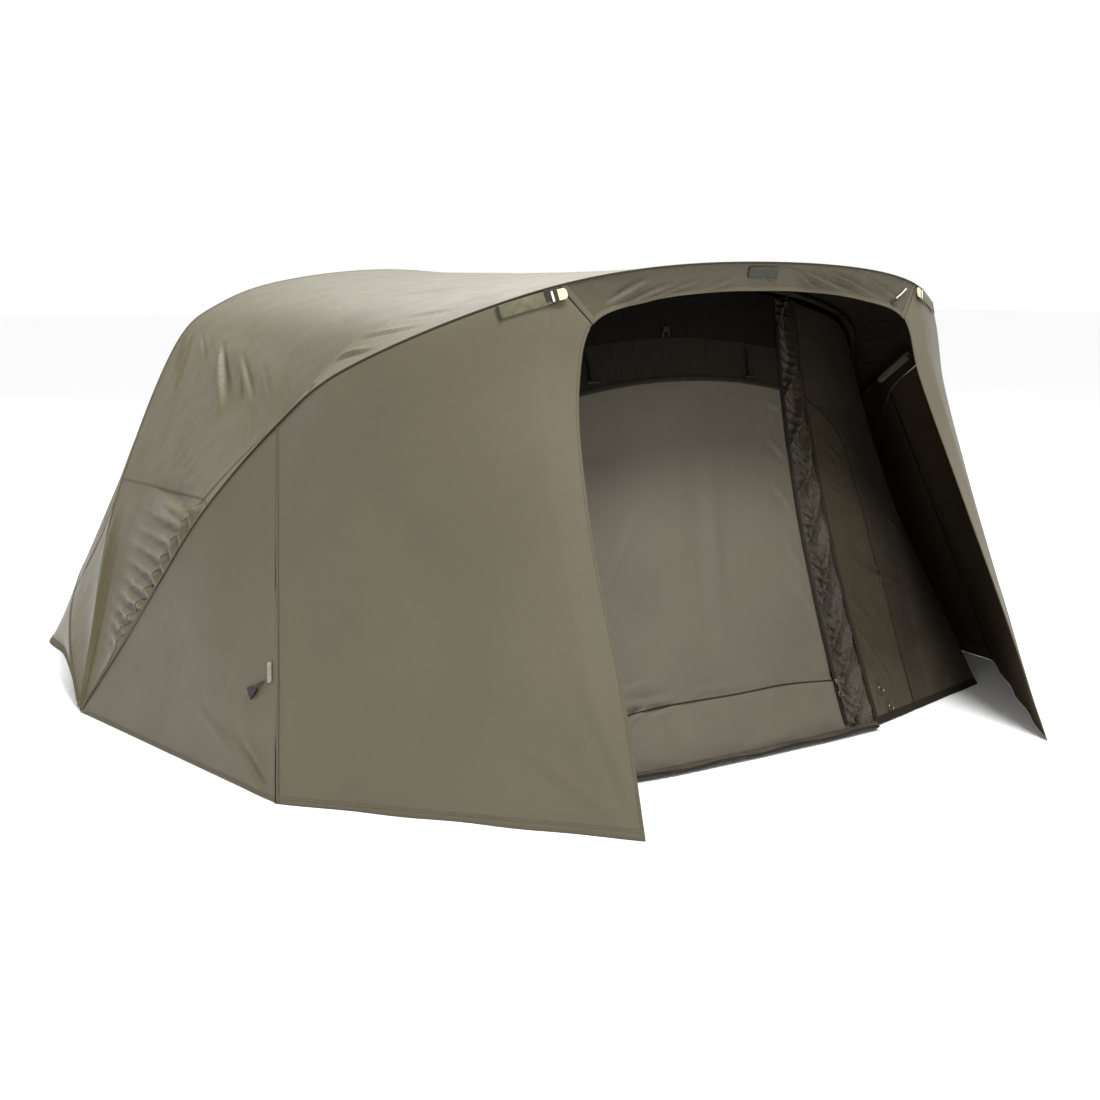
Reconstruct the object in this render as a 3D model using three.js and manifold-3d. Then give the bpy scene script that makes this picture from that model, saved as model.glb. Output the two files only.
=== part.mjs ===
// Two-person fishing bivvy shelter: three hinged ribs, a stretched outer wrap with a deep porch, and a zipped inner front.
// Millimetres, +Z up, the porch faces -Y, and the origin is at the middle of the footprint.
import * as THREE from "three";
import Module from "manifold-3d";
import { mergeVertices } from "three/addons/utils/BufferGeometryUtils.js";

const wasm = await Module();
wasm.setup();

// Driving dimensions
const HUB_X = 1614; // hem corner beside each hub, from the middle plane
const HUB_Y = 276; // rib pivot axis, along X
const PIVOT_Z = 40;
const FRONT_ANGLE = 55; // rib planes, measured at the pivot from straight forward
const BACK_ANGLE = 120.3;
const REAR_ANGLE = 158;
const HEM_Z = 2; // hems hang just clear of the ground
const CLOTH = 4; // thickness that stands for stretched cloth
const SEAM_GAP = 0.5;
const TUBE_R = 9.5; // rib tube
const ROUND = 10; // sides on round pieces
const RIB_INSET = 24; // rib centre line below the cloth outside
const SAG = 16; // how far the roof dips between two ribs
const CLOTH_AIM = new THREE.Vector3(0, 150, 350); // cloth is thickened towards this point

// Rib outlines at the cloth: [distance from the middle plane, distance from the pivot axis], foot to crown.
const FRONT_RIB = [[HUB_X, 0], [1540, 270], [1465, 544], [1366, 891], [1180, 1205], [980, 1526], [690, 1655], [0, 1752]];
const BACK_RIB = [[HUB_X, 0], [1533, 234], [1450, 480], [1330, 770], [942, 1408], [790, 1515], [560, 1605], [0, 1674]];
const REAR_RIB = [[HUB_X, 0], [1575, 210], [1525, 430], [1440, 680], [1290, 960], [1030, 1150], [640, 1300], [0, 1390]];
const CREASE = 4; // station where the side panels meet the roof
const BROW_START = 6; // station of the seam's corner above the doorway
const CROWN = 7; // last station, on the middle plane
const FOOT_START = 0.18; // panels begin just above the hubs

// Points on the left half, in the same stations: the front seam of the porch roof and the hem behind the hubs.
const PORCH_SEAM = [
  [HUB_X, HUB_Y, HEM_Z], [1518, 16, 308], [1470, -148, 496], [1396, -340, 728],
  [1238, -535, 990], [1155, -784, 1149], [684, -1162, 1384], [0, -1214, 1449],
];
const REAR_HEM = [
  [HUB_X, HUB_Y, HEM_Z], [1555, 520, HEM_Z], [1490, 800, HEM_Z], [1430, 1100, HEM_Z],
  [1392, 1395, HEM_Z], [1020, 1560, HEM_Z], [560, 1660, HEM_Z], [0, 1691, HEM_Z],
];

// Porch wings: the ground corner below the upright seam, and the doorway edge from the ground to the middle of the brow.
const WING_CORNER = [1437, -916, HEM_Z];
const DOORWAY_EDGE = [
  [776, -1691, HEM_Z], [742, -1545, 350], [711, -1350, 760], [655, -1215, 1110],
  [597, -1198, 1281], [400, -1196, 1342], [160, -1194, 1366], [0, -1193, 1369],
];
const DOORWAY_CORNER = 4; // index of the doorway's upper corner
const UNDER_SEAM = 0.994; // the porch walls stop this far up, just under the porch roof
const WING_TOP_SHARE = 0.9; // part of a wing's top edge that follows the porch seam; the rest is the brow seam

// Inner front: it leans back from the doorstep up to the front rib.
const INNER_DROP = 48; // its top edge lies this far inside the rib outline
const ZIPS = { left: [[505, -1280], 545], right: [[318, -1296], 530] }; // foot and distance of the head from the middle
const GUSSETS = { left: [[632, -1244], 632], right: [[450, -1290], 615] }; // outer edge of the strip beside each zip
const INNER_CORNER = [1122, -1115];
const INNER_CORNER_HEAD_X = 1145;
const INNER_SIDE_FOOT = [1395, 120];
const INNER_SIDE_HEAD_X = 1440;
const UPRIGHT_CURVE = 2.1; // power of the uprights' sideways bend
const VALANCE_Z = 1091; // lower edge of the dark valance at the middle, and how far it drops towards the zips
const VALANCE_DROP = 75;
const VALANCE_HALF = 560;
const GUSSET_PUFF = 22;

// Hubs: a clevis on the ground with one pin through three rib eyes.
const EYE_X = { front: 1540, back: 1510, rear: 1480 };
const EYE_R = 20;
const EYE_WIDTH = 18;
const PIN_R = 6;
const BORE_R = 6.4;
const CLEVIS_INNER_X = 1455;
const CLEVIS_OUTER_X = 1566;
const CLEVIS_WALL = 8;
const CLEVIS_DEPTH = 64;
const CLEVIS_HEIGHT = 64;
const ELBOW_R = 13;
const ELBOW_HALF = 70; // along the rib
const STRUT_R = 7;
const STRUT_STATION = 3.85; // where the strut's clip sits on the front rib
const STRUT_SEAM_STATION = 5.1; // where its tip comes near the porch seam
const CLIP_LENGTH = 36;
const CLIP_R = 15;
const STRUT_CLEARANCE = 64; // from the rib's centre to the strut's end
const STRUT_TIP_INSET = [50, 30, -30]; // from the porch seam: towards the middle, back and down

// Ground parts
const SHEET_HALF = [
  [440, -1262], [1095, -1085], [1375, 120], [1425, 170], [1425, 520], [1370, 1320], [980, 1500], [540, 1595], [0, 1625],
];
const SHEET_FRONT = [0, -1270];
const SHEET_DEPTH = 1.6;
const SILL_LINE = [[-620, -1274], [-500, -1304], [-300, -1316], [0, -1320], [225, -1318], [450, -1310]];
const SILL_R = 12;

// Small fittings: [width, thickness]
const TRIM_LIFT = 2.5; // clear of the cloth, whose facets cut its curves
const STRAP = [38, 2.5];
const TOGGLE = [34, 9];
const LABEL = [34, 1.5];
const LABEL_LIFT = 3;
const ROLL_STRAP = [9, 5];
const ROLL_LIFT = 6;
const SLIDER = [16, 5];
const SLIDER_LIFT = 12;
const ZIP_R = 3.5;
const ZIP_LIFT = 5;
const ZIP_SPAN = [0.03, 0.84]; // part of the door's edge that the zip track covers

// Where the fittings lie: [across, up] shares of the surface that carries them, from one end to the other
const STRAP_SPAN = [[0.79, 0.962], [0.908, 0.957]]; // on a wing
const TOGGLE_SPAN = [[0.905, 0.288], [0.93, 0.299]]; // on a flank
const LABEL_SPAN = [[0.455, 0.3], [0.545, 0.3]]; // on the brow
const ROLL_SPAN = { left: [[0.205, 0.843], [0.203, 0.791]], right: [[0.846, 0.843], [0.843, 0.791]] }; // on the door
const SLIDER_SPAN = { left: [[0.023, 0.088], [0.023, 0.118]], right: [[0.977, 0.088], [0.977, 0.118]] }; // on the door

const deg = THREE.MathUtils.degToRad;
const v3 = (x, y, z) => new THREE.Vector3(x, y, z);
const shelter = new THREE.Group();
const SIDES = [["left", -1], ["right", 1]];

// Finishes: colour, roughness, metalness
const finishes = {
  wrap: ["#868170", 0.72, 0],
  porch_cloth: ["#7d7667", 0.78, 0],
  inner_cloth: ["#6f6c5f", 0.86, 0],
  mesh_dark: ["#2a271f", 0.95, 0],
  groundsheet: ["#2c2b25", 0.8, 0],
  rib_metal: ["#4b4a43", 0.42, 0.85],
  moulding: ["#1f1f1c", 0.55, 0],
  webbing: ["#5f5f49", 0.8, 0],
  pin_steel: ["#9a9a98", 0.3, 1],
};

function addNode(name, geometry, finish) {
  const [color, roughness, metalness] = finishes[finish];
  const mesh = new THREE.Mesh(geometry, new THREE.MeshStandardMaterial({ color, roughness, metalness }));
  mesh.name = name;
  shelter.add(mesh);
}

// ---- Station lines: at(s, side) takes a station number, and side -1 is the left half.
function stationLine(points) {
  const curve = new THREE.CatmullRomCurve3(points, false, "centripetal");
  const last = points.length - 1;
  return (s, side) => {
    const p = curve.getPoint(THREE.MathUtils.clamp(s / last, 0, 1));
    return v3(p.x * side, p.y, p.z);
  };
}

const onRib = (angle, x, r) => v3(x, HUB_Y - r * Math.cos(deg(angle)), Math.max(HEM_Z, r * Math.sin(deg(angle))));
const ribCloth = (outline, angle) => stationLine(outline.map(([x, r]) => onRib(angle, x, r)));
const frontLine = ribCloth(FRONT_RIB, FRONT_ANGLE);
const backLine = ribCloth(BACK_RIB, BACK_ANGLE);
const rearLine = ribCloth(REAR_RIB, REAR_ANGLE);
const seamLine = stationLine(PORCH_SEAM.map((p) => v3(...p)));
const hemLine = stationLine(REAR_HEM.map((p) => v3(...p)));
const doorwayLine = stationLine(DOORWAY_EDGE.map((p) => v3(...p)));

// The same rib line moved inwards in the rib's own plane.
function insetLine(line, angle, inset) {
  return (s, side) => {
    const step = 0.02;
    const ahead = line(Math.min(CROWN, s + step), side);
    const behind = line(Math.max(0, s - step), side);
    const along = ahead.sub(behind).normalize();
    const planeNormal = v3(0, Math.sin(deg(angle)), Math.cos(deg(angle)));
    const inwards = along.cross(planeNormal).multiplyScalar(side).setLength(inset);
    return line(s, side).add(inwards);
  };
}

// ---- Cloth: thin closed solids over a grid of points
function sheetSolid(points, towards = CLOTH_AIM) {
  const positions = [];
  const triangles = [];
  const keys = new Map();
  const index = (p) => {
    const key = [p.x, p.y, p.z].map((c) => Math.round(c * 200)).join();
    if (!keys.has(key)) {
      keys.set(key, positions.length / 3);
      positions.push(p.x, p.y, p.z);
    }
    return keys.get(key);
  };
  const thicker = (p) => p.clone().add(towards.clone().sub(p).setLength(CLOTH));
  const [top, under] = [points, points.map((row) => row.map(thicker))].map((g) => g.map((row) => row.map(index)));
  const face = (a, b, c) => {
    if (a !== b && b !== c && c !== a) triangles.push(a, b, c);
  };
  const quad = (a, b, c, d) => {
    face(a, b, c);
    face(a, c, d);
  };
  const [rows, cols] = [points.length - 1, points[0].length - 1];
  for (let i = 0; i < rows; i++) {
    for (let j = 0; j < cols; j++) {
      quad(top[i][j], top[i][j + 1], top[i + 1][j + 1], top[i + 1][j]);
      quad(under[i][j], under[i + 1][j], under[i + 1][j + 1], under[i][j + 1]);
    }
  }
  const rim = [];
  for (let j = 0; j < cols; j++) rim.push([0, j]);
  for (let i = 0; i < rows; i++) rim.push([i, cols]);
  for (let j = cols; j > 0; j--) rim.push([rows, j]);
  for (let i = rows; i > 0; i--) rim.push([i, 0]);
  rim.forEach(([i, j], n) => {
    const [k, l] = rim[(n + 1) % rim.length];
    quad(top[k][l], top[i][j], under[i][j], under[k][l]);
  });
  const geometry = new THREE.BufferGeometry();
  geometry.setAttribute("position", new THREE.Float32BufferAttribute(positions, 3));
  geometry.setIndex(signedVolume(positions, triangles) > 0 ? triangles : triangles.reverse());
  return geometry;
}

function signedVolume(positions, triangles) {
  const corner = (k) => v3(positions[3 * k], positions[3 * k + 1], positions[3 * k + 2]);
  let sum = 0;
  for (let t = 0; t < triangles.length; t += 3) {
    const [a, b, c] = [0, 1, 2].map((k) => corner(triangles[t + k]));
    sum += a.dot(b.cross(c));
  }
  return sum;
}

// Grid of points at(u, v), with its rim pulled in by the seam gap so that neighbours don't touch.
function grid(uSteps, vSteps, at) {
  const points = [];
  for (let i = 0; i <= uSteps; i++) {
    points.push([]);
    for (let j = 0; j <= vSteps; j++) points[i].push(at(i / uSteps, j / vSteps));
  }
  const pull = (p, inner) => {
    const step = inner.clone().sub(p);
    if (step.length() > 4 * SEAM_GAP) p.add(step.setLength(SEAM_GAP));
  };
  for (const row of points) {
    pull(row[0], row[1]);
    pull(row[vSteps], row[vSteps - 1]);
  }
  for (let j = 0; j <= vSteps; j++) {
    pull(points[0][j], points[1][j]);
    pull(points[uSteps][j], points[uSteps - 1][j]);
  }
  return points;
}

// The crease and the hubs are taut, and the cloth between them sags.
function slackAt(s) {
  return s < CREASE ? Math.sin((Math.PI * s) / CREASE) : Math.sin(((Math.PI / 2) * (s - CREASE)) / (CROWN - CREASE));
}

// Cloth from one station line to another. span(u) gives [station, side].
function between(lineA, lineB, span, uSteps, vSteps, sag, sagWay) {
  return grid(uSteps, vSteps, (u, v) => {
    const [s, side] = span(u);
    const dip = sag * Math.sin(Math.PI * v) * slackAt(s);
    return lineA(s, side).lerp(lineB(s, side), v).addScaledVector(sagWay, dip);
  });
}

// A patch with four given edges, which meet at its corners.
function patch(bottom, top, start, end) {
  return (u, v) => {
    const ruled = bottom(u).lerp(top(u), v);
    const across = start(v).lerp(end(v), u);
    const low = bottom(0).lerp(bottom(1), u);
    const high = top(0).lerp(top(1), u);
    return ruled.add(across).sub(low.lerp(high, v));
  };
}

const straight = (a, b) => (t) => a.clone().lerp(b, t);
const lowSpan = (side) => (u) => [FOOT_START + u * (CREASE - FOOT_START), side];
const topSpan = (u) => [CROWN - Math.abs(2 * u - 1) * (CROWN - CREASE), u < 0.5 ? -1 : 1];
const browSpan = (u) => [CROWN - Math.abs(2 * u - 1) * (CROWN - BROW_START), u < 0.5 ? -1 : 1];
const DOWN = v3(0, 0, -1);

// A side panel runs from the back rib over the front rib to the porch seam.
function sidePanel(side) {
  const toRib = between(backLine, frontLine, lowSpan(side), 8, 6, SAG, v3(-side, 0, 0));
  const toSeam = between(frontLine, seamLine, lowSpan(side), 8, 1, 0, DOWN);
  return toRib.map((row, i) => [...row.slice(0, -1), frontLine(lowSpan(side)(i / 8)[0], side), toSeam[i][1]]);
}

function addOuterWrap() {
  const top = (a, b, vSteps, sag) => sheetSolid(between(a, b, topSpan, 20, vSteps, sag, DOWN));
  addNode("roof_panel", top(backLine, frontLine, 6, SAG), "wrap");
  addNode("porch_roof", top(frontLine, seamLine, 3, SAG / 2), "wrap");
  addNode("rear_roof", top(rearLine, backLine, 4, SAG), "wrap");
  addNode("rear_wall", top(hemLine, rearLine, 3, 0), "wrap");
  for (const [label, side] of SIDES) {
    const low = (a, b, vSteps, sag) => sheetSolid(between(a, b, lowSpan(side), 8, vSteps, sag, v3(-side, 0, 0)));
    addNode(`side_panel_${label}`, sheetSolid(sidePanel(side)), "wrap");
    addNode(`rear_side_${label}`, low(rearLine, backLine, 4, SAG), "wrap");
    addNode(`rear_corner_${label}`, low(hemLine, rearLine, 2, 0), "wrap");
  }
}

// ---- Porch: the flanks and wings on each side, and the brow between them
function wingSurface(side) {
  const corner = v3(WING_CORNER[0] * side, WING_CORNER[1], WING_CORNER[2]);
  const tip = doorwayLine(0, side);
  const browTop = seamLine(BROW_START, side);
  const browBottom = doorwayLine(DOORWAY_CORNER, side);
  const top = (u) => {
    const along = u / WING_TOP_SHARE;
    if (along <= 1) return seamLine(CREASE + along * (BROW_START - CREASE), side);
    return browTop.clone().lerp(browBottom, (u - WING_TOP_SHARE) / (1 - WING_TOP_SHARE));
  };
  const doorway = (v) => doorwayLine(v * DOORWAY_CORNER, side);
  return patch(straight(corner, tip), top, straight(corner, top(0)), doorway);
}

function flankSurface(side) {
  const hub = v3(HUB_X * side, HUB_Y, HEM_Z);
  const corner = v3(WING_CORNER[0] * side, WING_CORNER[1], WING_CORNER[2]);
  return (u, v) => {
    const along = FOOT_START / CREASE + u * (1 - FOOT_START / CREASE);
    return hub.clone().lerp(corner, along).lerp(seamLine(along * CREASE, side), v);
  };
}

function addPorch() {
  for (const [label, side] of SIDES) {
    const [wing, flank] = [wingSurface(side), flankSurface(side)];
    addNode(`wing_${label}`, sheetSolid(grid(10, 8, (u, v) => wing(u, v * UNDER_SEAM))), "porch_cloth");
    addNode(`flank_${label}`, sheetSolid(grid(8, 5, (u, v) => flank(u, v * UNDER_SEAM))), "porch_cloth");
  }
  addNode("brow", sheetSolid(grid(16, 3, browSurface)), "porch_cloth");
}

// ---- Inner front, hung from the front rib
const innerHead = insetLine(frontLine, FRONT_ANGLE, INNER_DROP);

function headAt(x, side) {
  let [low, high] = [1, CROWN];
  for (let n = 0; n < 40; n++) {
    const middle = (low + high) / 2;
    if (Math.abs(innerHead(middle, 1).x) > x) low = middle;
    else high = middle;
  }
  return innerHead(low, side);
}

function upright([footX, footY], headX, side) {
  const foot = v3(footX * side, footY, HEM_Z);
  const head = headAt(headX, side);
  return (v) => {
    const p = foot.clone().lerp(head, v);
    p.x = foot.x + (head.x - foot.x) * v ** UPRIGHT_CURVE;
    return p;
  };
}

function innerSurface(footA, headA, sideA, footB, headB, sideB) {
  const [start, end] = [upright(footA, headA, sideA), upright(footB, headB, sideB)];
  const top = (u) => {
    if (u === 0) return start(1);
    if (u === 1) return end(1);
    const x = headA * sideA + (headB * sideB - headA * sideA) * u;
    return headAt(Math.abs(x), Math.sign(x) || 1);
  };
  return patch(straight(start(0), end(0)), top, start, end);
}

const doorSurface = innerSurface(...ZIPS.left, -1, ...ZIPS.right, 1);
const INNER_AIM = v3(0, 600, 500);
const archHeight = (u) => VALANCE_Z - VALANCE_DROP * (doorSurface(u, 0.8).x / VALANCE_HALF) ** 2;
const archShare = (u) => archHeight(u) / doorSurface(u, 1).z;

function addInnerFront() {
  const door = grid(12, 8, (u, v) => doorSurface(u, v * archShare(u)));
  addNode("door_panel", sheetSolid(door, INNER_AIM), "inner_cloth");
  const valance = grid(12, 3, (u, v) => doorSurface(u, archShare(u) + v * (1 - archShare(u))));
  addNode("door_valance", sheetSolid(valance, INNER_AIM), "mesh_dark");
  for (const [label, side] of SIDES) {
    const gusset = innerSurface(...ZIPS[label], side, ...GUSSETS[label], side);
    const puffed = grid(4, 10, (u, v) => {
      const puff = GUSSET_PUFF * Math.sin(Math.PI * u) * Math.sin(Math.PI * v) ** 0.5;
      return gusset(u, v).add(v3(0, -puff, 0));
    });
    addNode(`door_gusset_${label}`, sheetSolid(puffed, INNER_AIM), "inner_cloth");
    const panel = innerSurface(...GUSSETS[label], side, INNER_CORNER, INNER_CORNER_HEAD_X, side);
    addNode(`inner_panel_${label}`, sheetSolid(grid(6, 8, panel), INNER_AIM), "inner_cloth");
    const wall = innerSurface(INNER_CORNER, INNER_CORNER_HEAD_X, side, INNER_SIDE_FOOT, INNER_SIDE_HEAD_X, side);
    addNode(`inner_side_${label}`, sheetSolid(grid(6, 5, wall), INNER_AIM), "inner_cloth");
  }
}

// ---- Frame: tubes, elbows, hubs and the struts that push the porch out
function tube(points, radius, steps, sides = ROUND) {
  const path = points.length > 2 ? new THREE.CatmullRomCurve3(points, false, "centripetal") : new THREE.LineCurve3(...points);
  const round = new THREE.Shape().absarc(0, 0, radius, 0, 2 * Math.PI);
  const section = new THREE.Shape(round.getPoints(sides / 2).slice(0, -1));
  return new THREE.ExtrudeGeometry(section, { steps, extrudePath: path, bevelEnabled: false });
}

function toManifold(geometry) {
  const bare = geometry.clone();
  bare.deleteAttribute("normal");
  bare.deleteAttribute("uv");
  const merged = mergeVertices(bare, 1e-3);
  const mesh = new wasm.Mesh({
    numProp: 3,
    vertProperties: new Float32Array(merged.attributes.position.array),
    triVerts: new Uint32Array(merged.index.array),
  });
  return new wasm.Manifold(mesh);
}

function fromManifold(solid) {
  const mesh = solid.getMesh();
  const geometry = new THREE.BufferGeometry();
  geometry.setAttribute("position", new THREE.Float32BufferAttribute(mesh.vertProperties, 3));
  geometry.setIndex(Array.from(mesh.triVerts));
  return geometry;
}

// A round bar along X, centred at the given point.
function barAlongX(x, y, z, radius, length) {
  const bar = new THREE.CylinderGeometry(radius, radius, length, ROUND);
  bar.rotateZ(Math.PI / 2);
  return bar.translate(x, y, z);
}

function lengthsAlong(line, from, to, side, count) {
  const points = [];
  for (let k = 0; k <= count; k++) points.push(line(from + ((to - from) * k) / count, side));
  return points;
}

// The station on a line that lies the given distance from another station, towards the crown.
function stationAfter(line, station, distance) {
  const start = line(station, 1);
  let s = station;
  while (Math.abs(s - station) < 2 && line(s, 1).distanceTo(start) < Math.abs(distance)) s += Math.sign(distance) * 0.005;
  return s;
}

const RIBS = [
  { name: "front", line: frontLine, angle: FRONT_ANGLE, elbow: 5 },
  { name: "back", line: backLine, angle: BACK_ANGLE, elbow: 4.1 },
  { name: "rear", line: rearLine, angle: REAR_ANGLE, elbow: 4.6 },
];
const LEG_START = 1.6; // station where a leg joins its rib plane

function addRib({ name, line, angle, elbow }) {
  const centre = insetLine(line, angle, RIB_INSET);
  const low = stationAfter(centre, elbow, -ELBOW_HALF);
  const high = stationAfter(centre, elbow, ELBOW_HALF);
  const gap = 0.006; // in stations
  for (const [label, side] of SIDES) {
    const eye = v3(EYE_X[name] * side, HUB_Y, PIVOT_Z);
    const climb = lengthsAlong(centre, LEG_START, low - gap, side, 8);
    const shank = eye.clone().lerp(climb[0], 0.02);
    const leg = toManifold(tube([shank, ...climb], TUBE_R, 14));
    const boss = toManifold(barAlongX(eye.x, eye.y, eye.z, EYE_R, EYE_WIDTH));
    const bore = toManifold(barAlongX(eye.x, eye.y, eye.z, BORE_R, 3 * EYE_WIDTH));
    addNode(`${name}_rib_leg_${label}`, fromManifold(leg.add(boss).subtract(bore)), "rib_metal");
    addNode(`${name}_rib_elbow_${label}`, tube(lengthsAlong(centre, low, high, side, 4), ELBOW_R, 4), "moulding");
  }
  const half = lengthsAlong(centre, high + gap, CROWN, -1, 10);
  const crown = half.pop();
  crown.x = 0;
  const other = half.map((p) => v3(-p.x, p.y, p.z)).reverse();
  addNode(`${name}_rib_crossbar`, tube([...half, crown, ...other], TUBE_R, 22), "rib_metal");
}

function addHub(label, side) {
  const height = CLEVIS_HEIGHT;
  const [inner, outer] = [CLEVIS_INNER_X, CLEVIS_OUTER_X];
  const wall = CLEVIS_WALL;
  const outline = [
    [inner, 0], [outer, 0], [outer, height], [outer - wall, height],
    [outer - wall, wall], [inner + wall, wall], [inner + wall, height], [inner, height],
  ];
  const shape = new THREE.Shape(outline.map(([x, z]) => new THREE.Vector2(x, z)));
  const block = new THREE.ExtrudeGeometry(shape, { depth: CLEVIS_DEPTH, bevelEnabled: false });
  block.rotateX(Math.PI / 2).translate(0, HUB_Y + CLEVIS_DEPTH / 2, 0);
  const middle = (inner + outer) / 2;
  const bore = barAlongX(middle, HUB_Y, PIVOT_Z, BORE_R, 2 * (outer - inner));
  const drilled = toManifold(block).subtract(toManifold(bore));
  const facing = side > 0 ? drilled : drilled.mirror([1, 0, 0]);
  addNode(`hub_clevis_${label}`, fromManifold(facing), "moulding");
  addNode(`hub_pin_${label}`, barAlongX(middle * side, HUB_Y, PIVOT_Z, PIN_R, outer - inner + 8), "pin_steel");
}

function addStrut(label, side) {
  const ribCentre = insetLine(frontLine, FRONT_ANGLE, RIB_INSET);
  const clip = ribCentre(STRUT_STATION, side);
  const along = ribCentre(STRUT_STATION + 0.05, side).sub(ribCentre(STRUT_STATION - 0.05, side)).normalize();
  const tip = seamLine(STRUT_SEAM_STATION, side).add(v3(...STRUT_TIP_INSET).multiply(v3(-side, 1, 1)));
  const start = clip.clone().add(tip.clone().sub(clip).setLength(STRUT_CLEARANCE));
  const end = (distance) => clip.clone().addScaledVector(along, distance);
  const ring = toManifold(tube([end(-CLIP_LENGTH / 2), end(CLIP_LENGTH / 2)], CLIP_R, 1));
  const arm = toManifold(tube([clip, start], STRUT_R + 2, 1));
  const ribBore = toManifold(tube([end(-STRUT_CLEARANCE), end(STRUT_CLEARANCE)], TUBE_R + 1.5, 1));
  addNode(`strut_clip_${label}`, fromManifold(ring.add(arm).subtract(ribBore)), "moulding");
  const shank = start.clone().lerp(tip, 0.001);
  addNode(`porch_strut_${label}`, tube([shank, tip], STRUT_R, 1, 8), "rib_metal");
}

// ---- Ground parts
function addGroundParts() {
  const outline = [SHEET_FRONT, ...SHEET_HALF, ...SHEET_HALF.slice(0, -1).reverse().map(([x, y]) => [-x, y])];
  const shape = new THREE.Shape(outline.map(([x, y]) => new THREE.Vector2(x, y)));
  addNode("groundsheet", new THREE.ExtrudeGeometry(shape, { depth: SHEET_DEPTH, bevelEnabled: false }), "groundsheet");
  const sill = SILL_LINE.map(([x, y]) => v3(x, y, SILL_R + HEM_Z));
  addNode("door_sill", tube(sill, SILL_R, 12, 8), "groundsheet");
}

// ---- Small fittings: [length, width, thickness], laid on a surface(u, v) with their length towards another point of it
function plateOn(surface, from, to, [width, thickness], outwards, lift = TRIM_LIFT) {
  const [a, b] = [surface(...from), surface(...to)];
  const along = b.clone().sub(a);
  const length = along.length();
  along.normalize();
  const nearby = surface(from[0] + 0.02, from[1]).sub(a).cross(surface(from[0], from[1] - 0.02).sub(a)).normalize();
  const out = nearby.dot(outwards) > 0 ? nearby : nearby.negate();
  const across = out.clone().cross(along).normalize();
  const normal = along.clone().cross(across).normalize();
  const box = new THREE.BoxGeometry(length, width, thickness);
  const turn = new THREE.Matrix4().makeBasis(along, across, normal);
  const centre = a.lerp(b, 0.5).addScaledVector(normal, lift + thickness / 2);
  return box.applyMatrix4(turn).translate(centre.x, centre.y, centre.z);
}

function addWingFittings(label, side) {
  const [wing, flank] = [wingSurface(side), flankSurface(side)];
  const out = v3(side, -1, 0.4);
  addNode(`strap_tab_${label}`, plateOn(wing, ...STRAP_SPAN, STRAP, out), "webbing");
  addNode(`wing_toggle_${label}`, plateOn(flank, ...TOGGLE_SPAN, TOGGLE, out), "moulding");
}

const browSurface = (u, v) => {
  const [s, side] = browSpan(u);
  const edge = DOORWAY_CORNER + ((s - BROW_START) / (CROWN - BROW_START)) * (CROWN - DOORWAY_CORNER);
  return seamLine(s, side).lerp(doorwayLine(edge, side), v);
};

function addFrontFittings() {
  const out = v3(0, -1, 0.3);
  addNode("label_patch", plateOn(browSurface, ...LABEL_SPAN, LABEL, out, LABEL_LIFT), "webbing");
  for (const [label, side] of SIDES) {
    addNode(`roll_toggle_${label}`, plateOn(doorSurface, ...ROLL_SPAN[label], ROLL_STRAP, out, ROLL_LIFT), "moulding");
    addNode(`door_zip_${label}`, zipTrack(label, side), "moulding");
    addNode(`zip_slider_${label}`, plateOn(doorSurface, ...SLIDER_SPAN[label], SLIDER, out, SLIDER_LIFT), "pin_steel");
  }
}

// The coil zip runs up the door's edge, on the porch side.
function zipTrack(label, side) {
  const edge = upright(...ZIPS[label], side);
  const [low, high] = ZIP_SPAN;
  const points = [0, 1, 2, 3, 4, 5, 6].map((k) => edge(low + ((high - low) * k) / 6));
  for (const p of points) p.add(v3(-ZIP_R * side, -ZIP_R - ZIP_LIFT, 0));
  return tube(points, ZIP_R, 14, 6);
}

addOuterWrap();
addPorch();
addInnerFront();
for (const [label, side] of SIDES) addWingFittings(label, side);
addFrontFittings();
RIBS.forEach(addRib);
for (const [label, side] of SIDES) {
  addHub(label, side);
  addStrut(label, side);
}
addGroundParts();

export default shelter;
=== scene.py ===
import math

import bpy
import numpy as np
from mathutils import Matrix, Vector


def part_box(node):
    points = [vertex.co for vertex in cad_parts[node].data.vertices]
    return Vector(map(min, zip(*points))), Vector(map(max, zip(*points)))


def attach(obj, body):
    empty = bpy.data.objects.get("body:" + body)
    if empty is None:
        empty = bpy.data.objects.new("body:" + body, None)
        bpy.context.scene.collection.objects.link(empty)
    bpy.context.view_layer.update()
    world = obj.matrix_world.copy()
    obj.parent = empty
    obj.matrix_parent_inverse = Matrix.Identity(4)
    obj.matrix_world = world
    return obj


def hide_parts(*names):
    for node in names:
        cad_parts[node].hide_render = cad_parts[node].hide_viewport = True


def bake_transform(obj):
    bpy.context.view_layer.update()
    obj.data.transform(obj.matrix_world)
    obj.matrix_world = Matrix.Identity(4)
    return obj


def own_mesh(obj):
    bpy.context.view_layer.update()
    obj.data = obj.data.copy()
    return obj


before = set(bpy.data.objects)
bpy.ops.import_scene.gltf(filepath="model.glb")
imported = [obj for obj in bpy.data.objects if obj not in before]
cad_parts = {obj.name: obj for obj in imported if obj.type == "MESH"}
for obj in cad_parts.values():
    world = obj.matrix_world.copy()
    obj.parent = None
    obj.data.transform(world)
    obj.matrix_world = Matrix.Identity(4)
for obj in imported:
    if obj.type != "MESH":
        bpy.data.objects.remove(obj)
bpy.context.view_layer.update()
scene = bpy.context.scene
MM = 0.001

# ---------------- camera
CAMERA_AT = (-2.987, -4.589, 1.389)
CAMERA_TURN = (80.007, 0.0, -33.568)
CAMERA_LENS = 49.56

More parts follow.
